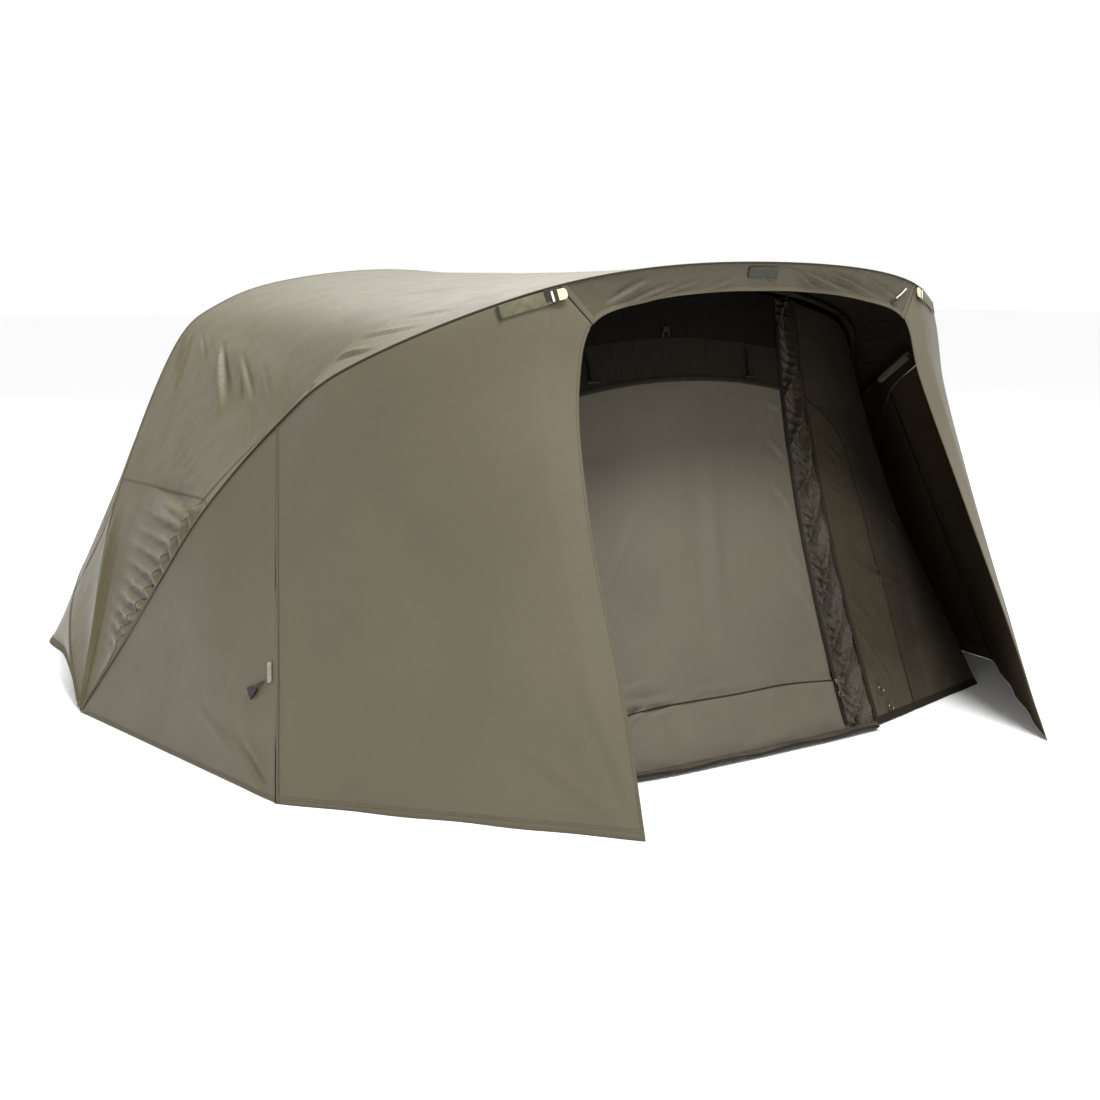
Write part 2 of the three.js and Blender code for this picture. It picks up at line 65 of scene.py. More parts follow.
camera_data = bpy.data.cameras.new("camera")
camera_data.lens = CAMERA_LENS
camera_data.sensor_width = 36
camera = bpy.data.objects.new("camera", camera_data)
camera.location = CAMERA_AT
camera.rotation_euler = [math.radians(a) for a in CAMERA_TURN]
scene.collection.objects.link(camera)
scene.camera = camera

# ---------------- the shelter's lines, as in the CAD (millimetres)
HUB = (1614, 276)
HEM_Z = 2
FRONT_ANGLE, BACK_ANGLE, REAR_ANGLE = 55, 120.3, 158
FRONT_RIB = [
    (1614, 0), (1540, 270), (1465, 544), (1366, 891), (1180, 1205), (980, 1526), (690, 1655), (0, 1752),
]
BACK_RIB = [
    (1614, 0), (1533, 234), (1450, 480), (1330, 770), (942, 1408), (790, 1515), (560, 1605), (0, 1674),
]
REAR_RIB = [
    (1614, 0), (1575, 210), (1525, 430), (1440, 680), (1290, 960), (1030, 1150), (640, 1300), (0, 1390),
]
PORCH_SEAM = [
    (1614, 276, 2), (1518, 16, 308), (1470, -148, 496), (1396, -340, 728),
    (1238, -535, 990), (1155, -784, 1149), (684, -1162, 1384), (0, -1214, 1449),
]
REAR_HEM = [
    (1614, 276, 2), (1555, 520, 2), (1490, 800, 2), (1430, 1100, 2),
    (1392, 1395, 2), (1020, 1560, 2), (560, 1660, 2), (0, 1691, 2),
]
DOORWAY_EDGE = [
    (776, -1691, 2), (742, -1545, 350), (711, -1350, 760), (655, -1215, 1110),
    (597, -1198, 1281), (400, -1196, 1342), (160, -1194, 1366), (0, -1193, 1369),
]
WING_CORNER = (1437, -916, 2)
ZIPS = {-1: ((505, -1280), 545), 1: ((318, -1296), 530)}  # foot on the ground, and x at the head
GUSSETS = {-1: ((632, -1244), 632), 1: ((450, -1290), 615)}
INNER_CORNER = ((1122, -1115), 1145)
INNER_SIDE = ((1395, 120), 1440)
SIDES = (("left", -1), ("right", 1))

# Stations count the points of a line from the hub's foot to the crown
CREASE, BROW_START, CROWN, DOORWAY_CORNER = 4, 6, 7, 4
FOOT = 0.03  # where the cloth starts beside the hub
UNDER_SEAM = 0.994  # share of a porch sheet's height at which it tucks under the seam
WING_TOP_SHARE = 0.9
UPRIGHT_CURVE = 2.1

# Metres
SAG = 0.016
INNER_DROP = 0.048  # from the front rib's cloth line to the inner front's top edge
VALANCE_Z, VALANCE_DROP, VALANCE_HALF = 1.091, 0.075, 0.560
GUSSET_PUFF = 0.022
THICKNESS = 0.0012
INSET = 0.0006  # the outer face lies this far inside the CAD's line
WRAP_LOWEST, PORCH_LOWEST, TRIM_LOWEST = 0.0016, 0.0006, 0.0004


def station_line(points_mm):
    """Centripetal Catmull-Rom line through the points; at(s, side) takes arrays of stations."""
    p = np.array(points_mm, float) * MM
    last = len(p) - 1
    before = np.vstack([2 * p[0] - p[1], p[:-1]])[: last]
    after = np.vstack([p[2:], p[-2] * (-1, 1, 1)])  # the line goes on over the crown, mirrored
    p1, p2 = p[:-1], p[1:]

    def gap(a, b):
        return np.maximum(np.sum((a - b) ** 2, axis=1) ** 0.25, 1e-6)[:, None]

    d0, d1, d2 = gap(before, p1), gap(p1, p2), gap(p2, after)
    t1 = ((p1 - before) / d0 - (p2 - before) / (d0 + d1) + (p2 - p1) / d1) * d1
    t2 = ((p2 - p1) / d1 - (after - p1) / (d1 + d2) + (after - p2) / d2) * d1
    c2, c3 = -3 * p1 + 3 * p2 - 2 * t1 - t2, 2 * p1 - 2 * p2 + t1 + t2

    def at(s, side=1):
        s = np.clip(np.asarray(s, float), 0, last)
        k = np.minimum(s.astype(int), last - 1)
        w = (s - k)[..., None]
        q = p1[k] + t1[k] * w + c2[k] * w**2 + c3[k] * w**3
        q[..., 0] *= side
        return q

    return at


def rib_cloth(outline, angle):
    c, s = math.cos(math.radians(angle)), math.sin(math.radians(angle))
    return station_line([(x, HUB[1] - r * c, max(HEM_Z, r * s)) for x, r in outline])


def plane_at(angle):
    """The normal of a rib's plane at this angle."""
    return (0, math.sin(math.radians(angle)), math.cos(math.radians(angle)))


front_line = rib_cloth(FRONT_RIB, FRONT_ANGLE)
back_line = rib_cloth(BACK_RIB, BACK_ANGLE)
rear_line = rib_cloth(REAR_RIB, REAR_ANGLE)
seam_line = station_line(PORCH_SEAM)
hem_line = station_line(REAR_HEM)
doorway_line = station_line(DOORWAY_EDGE)

FRONT_PLANE = plane_at(FRONT_ANGLE)


def unit(v):
    return v / np.maximum(np.linalg.norm(v, axis=-1, keepdims=True), 1e-12)


def mix(a, b, t):
    return a + (b - a) * t


def inner_head(s):
    """Right half of the inner front's top edge: the front rib's cloth line, moved in."""
    along = front_line(np.minimum(CROWN, s + 0.02)) - front_line(np.maximum(0, s - 0.02))
    return front_line(s) + unit(np.cross(unit(along), FRONT_PLANE)) * INNER_DROP


HEAD_S = np.linspace(1, CROWN, 1201)
HEAD_X = inner_head(HEAD_S)[:, 0]
HEAD_ORDER = np.argsort(HEAD_X)


def head_at(x):
    """Point of the inner front's top edge at a distance x (signed) from the middle."""
    x = np.asarray(x, float)
    p = inner_head(np.interp(np.abs(x), HEAD_X[HEAD_ORDER], HEAD_S[HEAD_ORDER]))
    p[..., 0] = x
    return p


def stations(line, start, end, step):
    """Stations from start to end, evenly spaced along the line."""
    fine = np.linspace(start, end, 1500)
    run = np.concatenate([[0], np.cumsum(np.linalg.norm(np.diff(line(fine), axis=0), axis=1))])
    return np.interp(np.linspace(0, run[-1], max(3, int(run[-1] / step) + 1)), run, fine)


def across_tent(s):
    """Left foot to crown to right foot: the stations and their sides."""
    return np.concatenate([s, s[-2::-1]]), np.concatenate([-np.ones(len(s)), np.ones(len(s) - 1)])


def slack(s):
    """How freely the cloth sags at a station, 0 at the foot and the crease."""
    over = np.sin(np.pi / 2 * (s - CREASE) / (CROWN - CREASE))
    return np.where(s < CREASE, np.sin(np.pi * s / CREASE), over)


def uv_grid(us, vs):
    return np.meshgrid(us, vs, indexing="ij")


def straight(a, b):
    return lambda t: mix(a, b, np.asarray(t, float)[..., None])


def coons(bottom, top, start, end, u, v):
    """A patch with four given edges."""
    ones, zeros = np.ones_like(u), np.zeros_like(u)
    ruled = mix(bottom(u), top(u), v[..., None])
    across = mix(start(v), end(v), u[..., None])
    low = mix(bottom(zeros), bottom(ones), u[..., None])
    high = mix(top(zeros), top(ones), u[..., None])
    return ruled + across - mix(low, high, v[..., None])


def spot(surface, *at):
    """One point of a surface."""
    return surface(*(np.array([x]) for x in at))[0]


# ---------------- noise, folds and wrinkles
def noise(p, seed):
    """Smooth value noise from -1 to 1 over points in space."""
    q = np.floor(p).astype(np.int64)
    f = p - q
    f = f * f * f * (f * (f * 6 - 15) + 10)

    def corner(dx, dy, dz):
        n = (q[..., 0] + dx) * 73856093 ^ (q[..., 1] + dy) * 19349663 ^ (q[..., 2] + dz) * 83492791
        n = n ^ (seed + 1) * 40503
        n = (n ^ (n >> 13)) * 1274126177 & 0x7FFFFFFF
        n = (n ^ (n >> 15)) * 668265263 & 0x7FFFFFFF
        return ((n >> 8) & 0xFFFF) / 32767.5 - 1

    fx, fy, fz = f[..., 0], f[..., 1], f[..., 2]
    x00 = mix(corner(0, 0, 0), corner(1, 0, 0), fx)
    x10 = mix(corner(0, 1, 0), corner(1, 1, 0), fx)
    x01 = mix(corner(0, 0, 1), corner(1, 0, 1), fx)
    x11 = mix(corner(0, 1, 1), corner(1, 1, 1), fx)
    return mix(mix(x00, x10, fy), mix(x01, x11, fy), fz)


def ripples(p, scale, seed, octaves=3):
    total, share = 0, 0.5
    p = p * np.asarray(scale, float)
    for k in range(octaves):
        total = total + share * noise(p, seed + 7 * k)
        p, share = p * 2.03 + 5.1, share * 0.5
    return total


def creases(p, scale, seed, sharp):
    """Thin ridges, 0 to 1."""
    return (1 - np.abs(ripples(p, scale, seed, 2)) * 1.6).clip(0, 1) ** sharp


def bump(x, centre, width):
    return np.exp(-(((x - centre) / width) ** 2))


def ramp(x, start, end):
    t = np.clip((x - start) / (end - start), 0, 1)
    return t * t * (3 - 2 * t)


def bulge(u, v=0.5):
    """1 in the middle of a sheet, 0 at its edges."""
    return (np.sin(np.pi * np.clip(u, 0, 1)) * np.sin(np.pi * v)) ** 0.5


def fold(p, n, a, b, width, height):
    """Height of one stretched fold from a to b: a ridge with a valley beside it, fading at both ends."""
    ab = b - a
    length = np.linalg.norm(ab)
    d = ab / length
    t = ((p - a) @ d) / length
    off = p - a - ((p - a) @ d)[..., None] * d
    x = np.sum(off * unit(np.cross(n, d)), axis=-1)
    near = np.exp(-((np.linalg.norm(off, axis=-1) / (4 * width)) ** 4))
    along = np.clip(np.sin(np.pi * np.clip(t, 0, 1)), 0, 1) ** 0.7
    w = width * (0.6 + 0.6 * np.clip(t, 0, 1))
    shape = np.exp(-((x / w) ** 2)) - 0.75 * np.exp(-(((x - 1.6 * w) / (1.1 * w)) ** 2))
    return height * along * shape * near


def surface_folds(surface, folds, p, n):
    """Height of folds given by u and v of both ends, width and height."""
    h = 0
    for u0, v0, u1, v1, width, height in folds:
        h = h + fold(p, n, spot(surface, u0, v0), spot(surface, u1, v1), width, height)
    return h


def smooth_rows(p, rounds, weight):
    """Averages each point with its neighbours along the first axis, where weight allows."""
    for _ in range(rounds):
        q = p.copy()
        q[1:-1] = (p[:-2] + p[2:]) / 2
        p = p + (q - p) * weight[..., None] * 0.5
    return p


def calm(a, rounds=12):
    """Evens out a run of points or normals, ends kept."""
    for _ in range(rounds):
        a = np.concatenate([a[:1], (a[:-2] + 2 * a[1:-1] + a[2:]) / 4, a[-1:]])
    return a


# ---------------- materials
WEAVE = 0.0013  # spacing of the threads
STITCH, STITCH_SHARE, STITCH_ROW, STITCH_HALF = 0.0045, 0.62, 0.0036, 0.00055
WEBBING_RIB, WEBBING_PICK = 0.0022, 0.0016
DUST_HEIGHT = 0.22
SPECULAR = 0.5
WEAR = 0.25


def linear(rgb):
    def one(c):
        c /= 255
        return c / 12.92 if c <= 0.04045 else ((c + 0.055) / 1.055) ** 2.4

    return tuple(one(c) for c in rgb) + (1,)


def darker(colour, share):
    return tuple(c * share for c in colour[:3]) + (1,)


class Nodes:
    """Short calls for building a material's node tree."""

    def __init__(self, name):
        self.material = bpy.data.materials.new(name)
        self.material.use_nodes = True
        self.tree = self.material.node_tree
        self.shader = self.tree.nodes["Principled BSDF"]

    def feed(self, socket, value):
        """Links a socket to another, or sets its value."""
        if isinstance(value, bpy.types.NodeSocket):
            self.tree.links.new(value, socket)
        else:
            socket.default_value = value

    def add(self, kind, inputs=None, **settings):
        node = self.tree.nodes.new(kind)
        for key, value in settings.items():
            setattr(node, key, value)
        for key, value in (inputs or {}).items():
            self.feed(node.inputs[key], value)
        return node

    def math(self, operation, a, b=0.0):
        return self.add("ShaderNodeMath", {0: a, 1: b}, operation=operation).outputs[0]

    def coordinates(self, kind, scale=(1, 1, 1)):
        source = self.add("ShaderNodeTexCoord").outputs[kind]
        return self.add("ShaderNodeMapping", {0: source, "Scale": scale}).outputs[0]

    def split(self, vector):
        return self.add("ShaderNodeSeparateXYZ", {0: vector}).outputs

    def noise(self, vector, scale, detail=4.0, roughness=0.5):
        inputs = {"Vector": vector, "Scale": scale, "Detail": detail, "Roughness": roughness}
        return self.add("ShaderNodeTexNoise", inputs).outputs[0]

    def remap(self, value, low, high, to_low, to_high):
        return self.add("ShaderNodeMapRange", {0: value, 1: low, 2: high, 3: to_low, 4: to_high}).outputs[0]

    def blend(self, factor, a, b):
        return self.add("ShaderNodeMix", {0: factor, 6: a, 7: b}, data_type="RGBA").outputs[2]

    def wave(self, value, spacing):
        return self.math("SINE", self.math("MULTIPLY", value, 2 * math.pi / spacing))

    def bump(self, height, distance, strength=1.0, under=None):
        inputs = {"Height": height, "Distance": distance, "Strength": strength}
        if under is not None:
            inputs["Normal"] = under
        return self.add("ShaderNodeBump", inputs).outputs[0]

    def weave(self):
        """Plain weave: threads over and under."""
        uv = self.split(self.coordinates("UV"))
        return self.math("MULTIPLY", self.wave(uv[0], WEAVE), self.wave(uv[1], WEAVE))

    def finish(self, **values):
        """Sets the shader's sockets and returns the material."""
        for key, value in values.items():
            self.feed(self.shader.inputs[key.replace("_", " ")], value)
        return self.material


def cloth_material(name, rgb, tint, rough, specular, sheen, wrinkle, scale, grain=0.10, soil=0.12,
                   stretch=(1, 1, 1)):
    m = Nodes(name)
    place = m.coordinates("Object")
    colour = linear(rgb)
    tinted = m.blend(m.remap(m.noise(place, 1.7, 3), 0.35, 0.65, 0, 1), colour, linear(tint))
    cloudy = m.noise(place, 9.0, 5, 0.6)
    speck = m.remap(m.noise(place, 130.0, 3, 0.8), 0.3, 0.7, 0, grain * 2)
    grainy = m.blend(speck, tinted, darker(colour, 0.55))
    low = m.remap(m.split(place)[2], 0.0, DUST_HEIGHT, soil, 0)
    dust = m.math("MULTIPLY", low, m.remap(cloudy, 0.35, 0.7, 0.3, 1))
    soft = m.noise(m.coordinates("Object", stretch), scale, 4, 0.55)
    crinkle = m.noise(m.coordinates("Object", stretch), scale * 4.3, 3, 0.6)
    folded = m.bump(m.math("ADD", soft, m.math("MULTIPLY", crinkle, 0.22)), wrinkle * 10)
    return m.finish(
        Base_Color=m.blend(dust, grainy, linear((150, 140, 118))),
        Roughness=m.remap(cloudy, 0.3, 0.7, rough - 0.05, rough + 0.07),
        Sheen_Weight=sheen,
        Sheen_Roughness=0.45,
        Specular_IOR_Level=specular,
        Normal=m.bump(m.weave(), 0.00012, 0.6, folded),
    )


def seam_material(name, rgb, thread, specular=0.1):
    """Folded seam tape with two rows of stitches: UV runs along and across it in metres."""
    m = Nodes(name)
    uv = m.split(m.coordinates("UV"))
    dash = m.math("LESS_THAN", m.math("FRACT", m.math("DIVIDE", uv[0], STITCH)), STITCH_SHARE)
    off_row = m.math("ABSOLUTE", m.math("SUBTRACT", m.math("ABSOLUTE", uv[1]), STITCH_ROW))
    stitch = m.math("MULTIPLY", dash, m.math("LESS_THAN", off_row, STITCH_HALF))
    colour = linear(rgb)
    base = m.blend(m.noise(m.coordinates("Object"), 40.0, 4), colour, darker(colour, 0.72))
    pucker = m.noise(m.coordinates("UV", (1, 0.3, 1)), 240.0, 3)
    height = m.math("ADD", m.math("MULTIPLY", pucker, 0.5), m.math("MULTIPLY", stitch, 0.9))
    return m.finish(
        Base_Color=m.blend(stitch, base, linear(thread)),
        Roughness=m.remap(pucker, 0.3, 0.7, 0.6, 0.8),
        Specular_IOR_Level=specular,
        Normal=m.bump(height, 0.0012, 0.8, m.bump(m.weave(), 0.0001, 0.5)),
    )


def solid_material(name, rgb, rough, metal, scale, grain, specular=SPECULAR, brushed=(1, 1, 1)):
    m = Nodes(name)
    colour = linear(rgb)
    fine = m.noise(m.coordinates("Object", brushed), scale, 4, 0.6)
    patchy = m.noise(m.coordinates("Object"), 14.0, 4, 0.6)
    worn = tuple(min(1, c * (1 + WEAR) + 0.02 * WEAR) for c in colour[:3]) + (1,)
    return m.finish(
        Base_Color=m.blend(m.remap(patchy, 0.4, 0.75, 0, 1), colour, worn),
        Metallic=metal,
        Roughness=m.remap(fine, 0.3, 0.7, rough - 0.06, rough + 0.1),
        Specular_IOR_Level=specular,
        Normal=m.bump(fine, grain, 0.5),
    )


def webbing_material(name, rgb):
    m = Nodes(name)
    colour = linear(rgb)
    uv = m.split(m.coordinates("UV"))
    slanted = m.math("ADD", uv[0], m.math("MULTIPLY", uv[1], 0.6))
    height = m.math("MULTIPLY", m.wave(uv[1], WEBBING_RIB), m.wave(slanted, WEBBING_PICK))
    mottle = m.remap(m.noise(m.coordinates("Object"), 55.0, 5, 0.7), 0.3, 0.7, 0, 1)
    return m.finish(
        Base_Color=m.blend(mottle, colour, darker(colour, 0.6)),
        Roughness=0.8,
        Sheen_Weight=0.1,
        Specular_IOR_Level=0.2,
        Normal=m.bump(height, 0.0006, 0.8),
    )


THREAD = (62, 58, 45)
SHADE = (0.75, 0.12, 0.02, 0.0004, 20, 0.12)
MESH_STRETCH = (3, 1, 0.25)

# Colour and tint; then roughness, specular, sheen, wrinkle depth and scale, grain, soil, stretch of wrinkles
roof_cloth = cloth_material("roof_cloth", (86, 79, 53), (79, 73, 49), 0.40, 0.24, 0.0, 0.0004, 8, 0.35, 0.04)
porch_cloth = cloth_material("porch_cloth", (88, 82, 65), (81, 75, 59), 0.55, 0.3, 0.04, 0.0002, 7, 0.1, 0.05)
# The brow: a darker copy of the porch cloth, painted shade
brow_cloth_shaded = cloth_material("brow_cloth_shaded", (74, 69, 54), (67, 62, 48), 0.5, 0.25, 0.03, 0.0010, 16, 0.16, 0.0)
# Inner faces: the darker coated side of the cloth, made darker still as painted shade
wing_lining_shaded = cloth_material("wing_lining_shaded", (70, 60, 45), (62, 53, 40), 0.75, 0.1, 0.0, 0.0004, 12, 0.1, 0.05)
lining_shaded = cloth_material("wrap_lining_shaded", (44, 39, 30), (36, 32, 24), 0.75, 0.1, 0.0, 0.0005, 14, 0.10, 0.02)
door_cloth = cloth_material("door_cloth", (84, 80, 67), (77, 72, 60), 0.6, 0.3, 0.06, 0.0003, 10, 0.05,
                            stretch=(1, 1, 0.5))
gusset_cloth = cloth_material("gusset_cloth", (58, 52, 37), (40, 35, 24), 0.42, 0.3, 0.02, 0.0014, 34, 0.14)
panel_cloth = cloth_material("inner_panel_cloth", (57, 52, 38), (51, 46, 33), 0.6, 0.2, 0.02, 0.0006, 22,
                             0.16)
# Shade copies of the panel cloth, beyond the arched seam: partly a darker cloth, partly painted shade
panel_shade = cloth_material("inner_panel_shade", (56, 50, 38), (49, 43, 32), *SHADE)
panel_band_shade = cloth_material("inner_panel_band_shade", (47, 42, 31), (42, 37, 28), *SHADE)
mesh_cloth = cloth_material("valance_mesh", (40, 36, 28), (31, 28, 21), 0.85, 0.1, 0.0, 0.0011, 30, 0.3,
                            stretch=MESH_STRETCH)
# Upper part of the valance: a darker copy of the mesh cloth, painted shade under the roof
mesh_top_shade = cloth_material("valance_top_shade", (22, 20, 15), (18, 16, 12), 0.85, 0.1, 0.0, 0.0009, 22, 0.3,
                          stretch=MESH_STRETCH)
ground_cloth = cloth_material("groundsheet_cloth", (48, 45, 37), (38, 36, 29), 0.6, SPECULAR, 0.05, 0.0009,
                              12, soil=0.05)
sill_cloth = cloth_material("sill_cloth", (50, 44, 35), (38, 33, 26), 0.6, 0.2, 0.05, 0.0012, 40)

# Colour, thread, specular
roof_seam = seam_material("roof_seam_tape", (84, 77, 53), THREAD, 0.22)
porch_seam = seam_material("porch_seam_tape", (89, 83, 66), THREAD, 0.3)
door_seam = seam_material("door_seam_tape", (78, 74, 62), (52, 48, 38))
inner_seam = seam_material("inner_seam_tape", (42, 38, 29), (34, 31, 24))
piping = seam_material("wrap_piping", (58, 54, 42), (40, 37, 29))

# Colour, roughness, metal, scale and depth of the grain, specular
dark_piping = solid_material("dark_piping", (34, 31, 24), 0.75, 0, 500, 0.0005, 0.1)
zip_nylon = solid_material("zip_nylon", (22, 20, 16), 0.5, 0, 600, 0.0003, 0.25)
moulded = solid_material("moulded_nylon", (28, 28, 24), 0.5, 0, 420, 0.0004, 0.3)
tube_paint = solid_material("tube_paint", (56, 53, 44), 0.38, 0.6, 240, 0.0002)
steel = solid_material("plain_steel", (176, 176, 172), 0.3, 1.0, 300, 0.0002, brushed=(1, 12, 1))
dark_steel = solid_material("dark_steel", (98, 96, 88), 0.34, 1.0, 300, 0.0002)
valance_line = solid_material("valance_line", (24, 21, 16), 0.8, 0, 400, 0.0004, 0.05)
toggle_black = solid_material("toggle_nylon", (18, 17, 13), 0.6, 0, 420, 0.0004, 0.15)
cream_rubber = solid_material("cream_rubber", (186, 180, 146), 0.55, 0, 300, 0.0003)
white_bar = solid_material("white_bar", (192, 192, 184), 0.4, 0, 300, 0.0002)
webbing = webbing_material("olive_webbing", (108, 106, 82))
webbing_dark = webbing_material("dark_webbing", (52, 54, 42))
label_weave = webbing_material("label_weave", (60, 60, 49))
pale_tab = webbing_material("pale_tab", (158, 155, 136))


# ---------------- meshes
def mesh_object(name, verts, faces, uv, materials, kinds=None, sharp=None):
    mesh = bpy.data.meshes.new(name)
    mesh.from_pydata(np.reshape(verts, (-1, 3)).tolist(), [], [list(map(int, f)) for f in faces])
    layer = mesh.uv_layers.new(name="metres")
    corner = np.zeros(len(mesh.loops), np.int32)
    mesh.loops.foreach_get("vertex_index", corner)
    layer.data.foreach_set("uv", np.reshape(uv, (-1, 2))[corner].astype(np.float32).ravel())
    for material in materials:
        mesh.materials.append(material)
    if kinds is not None:
        mesh.polygons.foreach_set("material_index", np.asarray(kinds, np.int32))
    mesh.polygons.foreach_set("use_smooth", np.ones(len(mesh.polygons), bool))
    if sharp is not None:
        mesh.set_sharp_from_angle(angle=math.radians(sharp))
    mesh.validate()
    obj = bpy.data.objects.new(name, mesh)
    scene.collection.objects.link(obj)
    return obj


def run_lengths(p, axis):
    step = np.linalg.norm(np.diff(p, axis=axis), axis=-1)
    pad = [(0, 0), (0, 0)]
    pad[axis] = (1, 0)
    run = np.cumsum(np.pad(step, pad), axis=axis)
    return run - np.take(run, [run.shape[axis] // 2], axis=axis)


def grid_normals(p):
    return unit(np.cross(np.gradient(p, axis=0), np.gradient(p, axis=1)))


def outward(p, way):
    """The grid's normals, turned to face the given way, and whether its faces have to be flipped."""
    n = grid_normals(p)
    flip = np.sum(n * way) < 0
    return (-n if flip else n), flip


def raised(p, n, h, lowest=-1.0):
    """The grid moved by h along its normals, kept above a lowest level."""
    q = p + n * h[..., None]
    q[..., 2] = np.maximum(q[..., 2], lowest)
    return q


def along_grid(p, n, i, j):
    """Points and normals of a grid at fractional indices."""
    i, j = np.broadcast_arrays(np.asarray(i, float), np.asarray(j, float))
    a = np.clip(np.floor(i).astype(int), 0, p.shape[0] - 2)
    b = np.clip(np.floor(j).astype(int), 0, p.shape[1] - 2)
    s, t = (i - a)[..., None], (j - b)[..., None]

    def at(q):
        return mix(mix(q[a, b], q[a + 1, b], s), mix(q[a, b + 1], q[a + 1, b + 1], s), t)

    return at(p), unit(at(n))


TUBE_UP = (0.013, 0.11, 0.99)  # never along a tube


class Batch:
    """Collects swept and plate shapes into one mesh; kind picks the material."""

    def __init__(self):
        self.verts, self.faces, self.uv, self.kinds, self.count = [], [], [], [], 0

    def loft(self, p, uv, kind=0, flip=False):
        """Skins the closed rings p[row, point] and caps both ends."""
        rows, cols = p.shape[:2]
        faces = []
        for i in range(rows - 1):
            for j in range(cols):
                k = (j + 1) % cols
                faces.append([i * cols + j, (i + 1) * cols + j, (i + 1) * cols + k, i * cols + k])
        faces.append(list(range(cols)))
        faces.append([(rows - 1) * cols + j for j in range(cols)][::-1])
        if flip:
            faces = [f[:1] + f[:0:-1] for f in faces]
        verts = p.reshape(-1, 3).copy()
        verts[:, 2] = np.maximum(verts[:, 2], TRIM_LOWEST)
        self.verts.append(verts)
        self.uv.append(uv.reshape(-1, 2))
        self.faces += [[i + self.count for i in f] for f in faces]
        self.kinds += [kind] * len(faces)
        self.count += len(verts)

    def sweep(self, centre, normal, ring, kind=0, scale=1.0):
        """A closed section ring, [(across, up)], carried along the centre line."""
        along = unit(np.gradient(centre, axis=0))
        across = unit(np.cross(np.broadcast_to(normal, centre.shape), along))
        up = unit(np.cross(along, across))
        ring = np.asarray(ring, float)
        size = np.broadcast_to(np.asarray(scale, float), len(centre))[:, None, None]
        p = centre[:, None] + size * (across[:, None] * ring[None, :, :1] + up[:, None] * ring[None, :, 1:])
        run = np.concatenate([[0], np.cumsum(np.linalg.norm(np.diff(centre, axis=0), axis=1))])
        self.loft(p, np.stack(uv_grid(run, ring[:, 0]), -1), kind)

    def ribbon(self, centre, normal, width, height, kind=0):
        w, h = width / 2, height
        ring = [(-w, -h * 0.3), (-w, h * 0.35), (-0.86 * w, h * 0.85), (-0.5 * w, h), (0, h * 0.82),
                (0.5 * w, h), (0.86 * w, h * 0.85), (w, h * 0.35), (w, -h * 0.3)]
        self.sweep(centre, normal, ring, kind)

    def tube(self, centre, radius, sides=8, kind=0, scale=1.0):
        turn = np.linspace(0, 2 * math.pi, sides, endpoint=False)
        self.sweep(centre, TUBE_UP, [(radius * math.cos(a), radius * math.sin(a)) for a in turn], kind, scale)

    def tape(self, sheet, i, j, lift, width, height, kind=0):
        """A ribbon on a sheet (grid and normals), over fractional indices."""
        c, n = along_grid(*sheet, i, j)
        self.ribbon(c + n * lift, n, width, height, kind)

    def bead(self, sheet, i, j, lift, radius, kind=0):
        """A round bead on a sheet (grid and normals), over fractional indices."""
        c, n = along_grid(*sheet, i, j)
        self.tube(c + n * lift, radius, kind=kind)

    def plate(self, outline, thickness, centre, along, normal, bevel=0.0006, kind=0):
        """A flat outline [(along, across)] with bevelled edges, lying on the surface at centre."""
        along, normal = unit(np.asarray(along, float)), unit(np.asarray(normal, float))
        across = unit(np.cross(normal, along))
        up = unit(np.cross(along, across))
        o = np.asarray(outline, float)
        small = o * (1 - bevel / np.abs(o).max())
        layers = [(small, 0), (o, bevel), (o, thickness - bevel), (small, thickness)]
        p = np.stack([centre + q[:, :1] * along + q[:, 1:] * across + up * h for q, h in layers])
        self.loft(p, np.tile(o, (4, 1)), kind, flip=True)

    def build(self, name, materials, sharp=42):
        verts, uv = np.concatenate(self.verts), np.concatenate(self.uv)
        return mesh_object(name, verts, self.faces, uv, materials, self.kinds, sharp)


def rounded(length, width, radius=None, round_start=True):
    """Outline of a strip along its length, with rounded corners, or with square ones at its start."""
    r = width / 2 if radius is None else radius
    x, y = length / 2 - r, width / 2 - r
    out = []
    for cx, cy, first, is_round in ((x, y, 0, True), (-x, y, 90, round_start), (-x, -y, 180, round_start),
                                    (x, -y, 270, True)):
        turn = np.radians(np.linspace(first, first + 90, 6) if is_round else [first + 45])
        k = r if is_round else r * math.sqrt(2)
        out += [(cx + k * math.cos(a), cy + k * math.sin(a)) for a in turn]
    return out


def ring_path(centre, normal, radius, squeeze=1.0):
    normal = unit(np.asarray(normal, float))
    a = unit(np.cross(normal, (0, 0, 1)))
    b = np.cross(normal, a)
    t = np.linspace(0, 2 * math.pi, 28)[:, None]
    return centre + radius * (np.cos(t) * a * squeeze + np.sin(t) * b)


# ---------------- how each piece goes with the frame
def go(obj, how, replaces=()):
    if how == "canopy":
        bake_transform(obj)
    elif how == "rear_canopy":
        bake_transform(obj)
    elif how == "rear_wall":
        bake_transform(obj)
    elif how == "porch":
        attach(obj, "front")
        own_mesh(obj)
    elif how == "inner":
        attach(obj, "front")
        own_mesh(obj)
    else:
        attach(obj, how)
    if replaces:
        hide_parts(*replaces)
    return obj


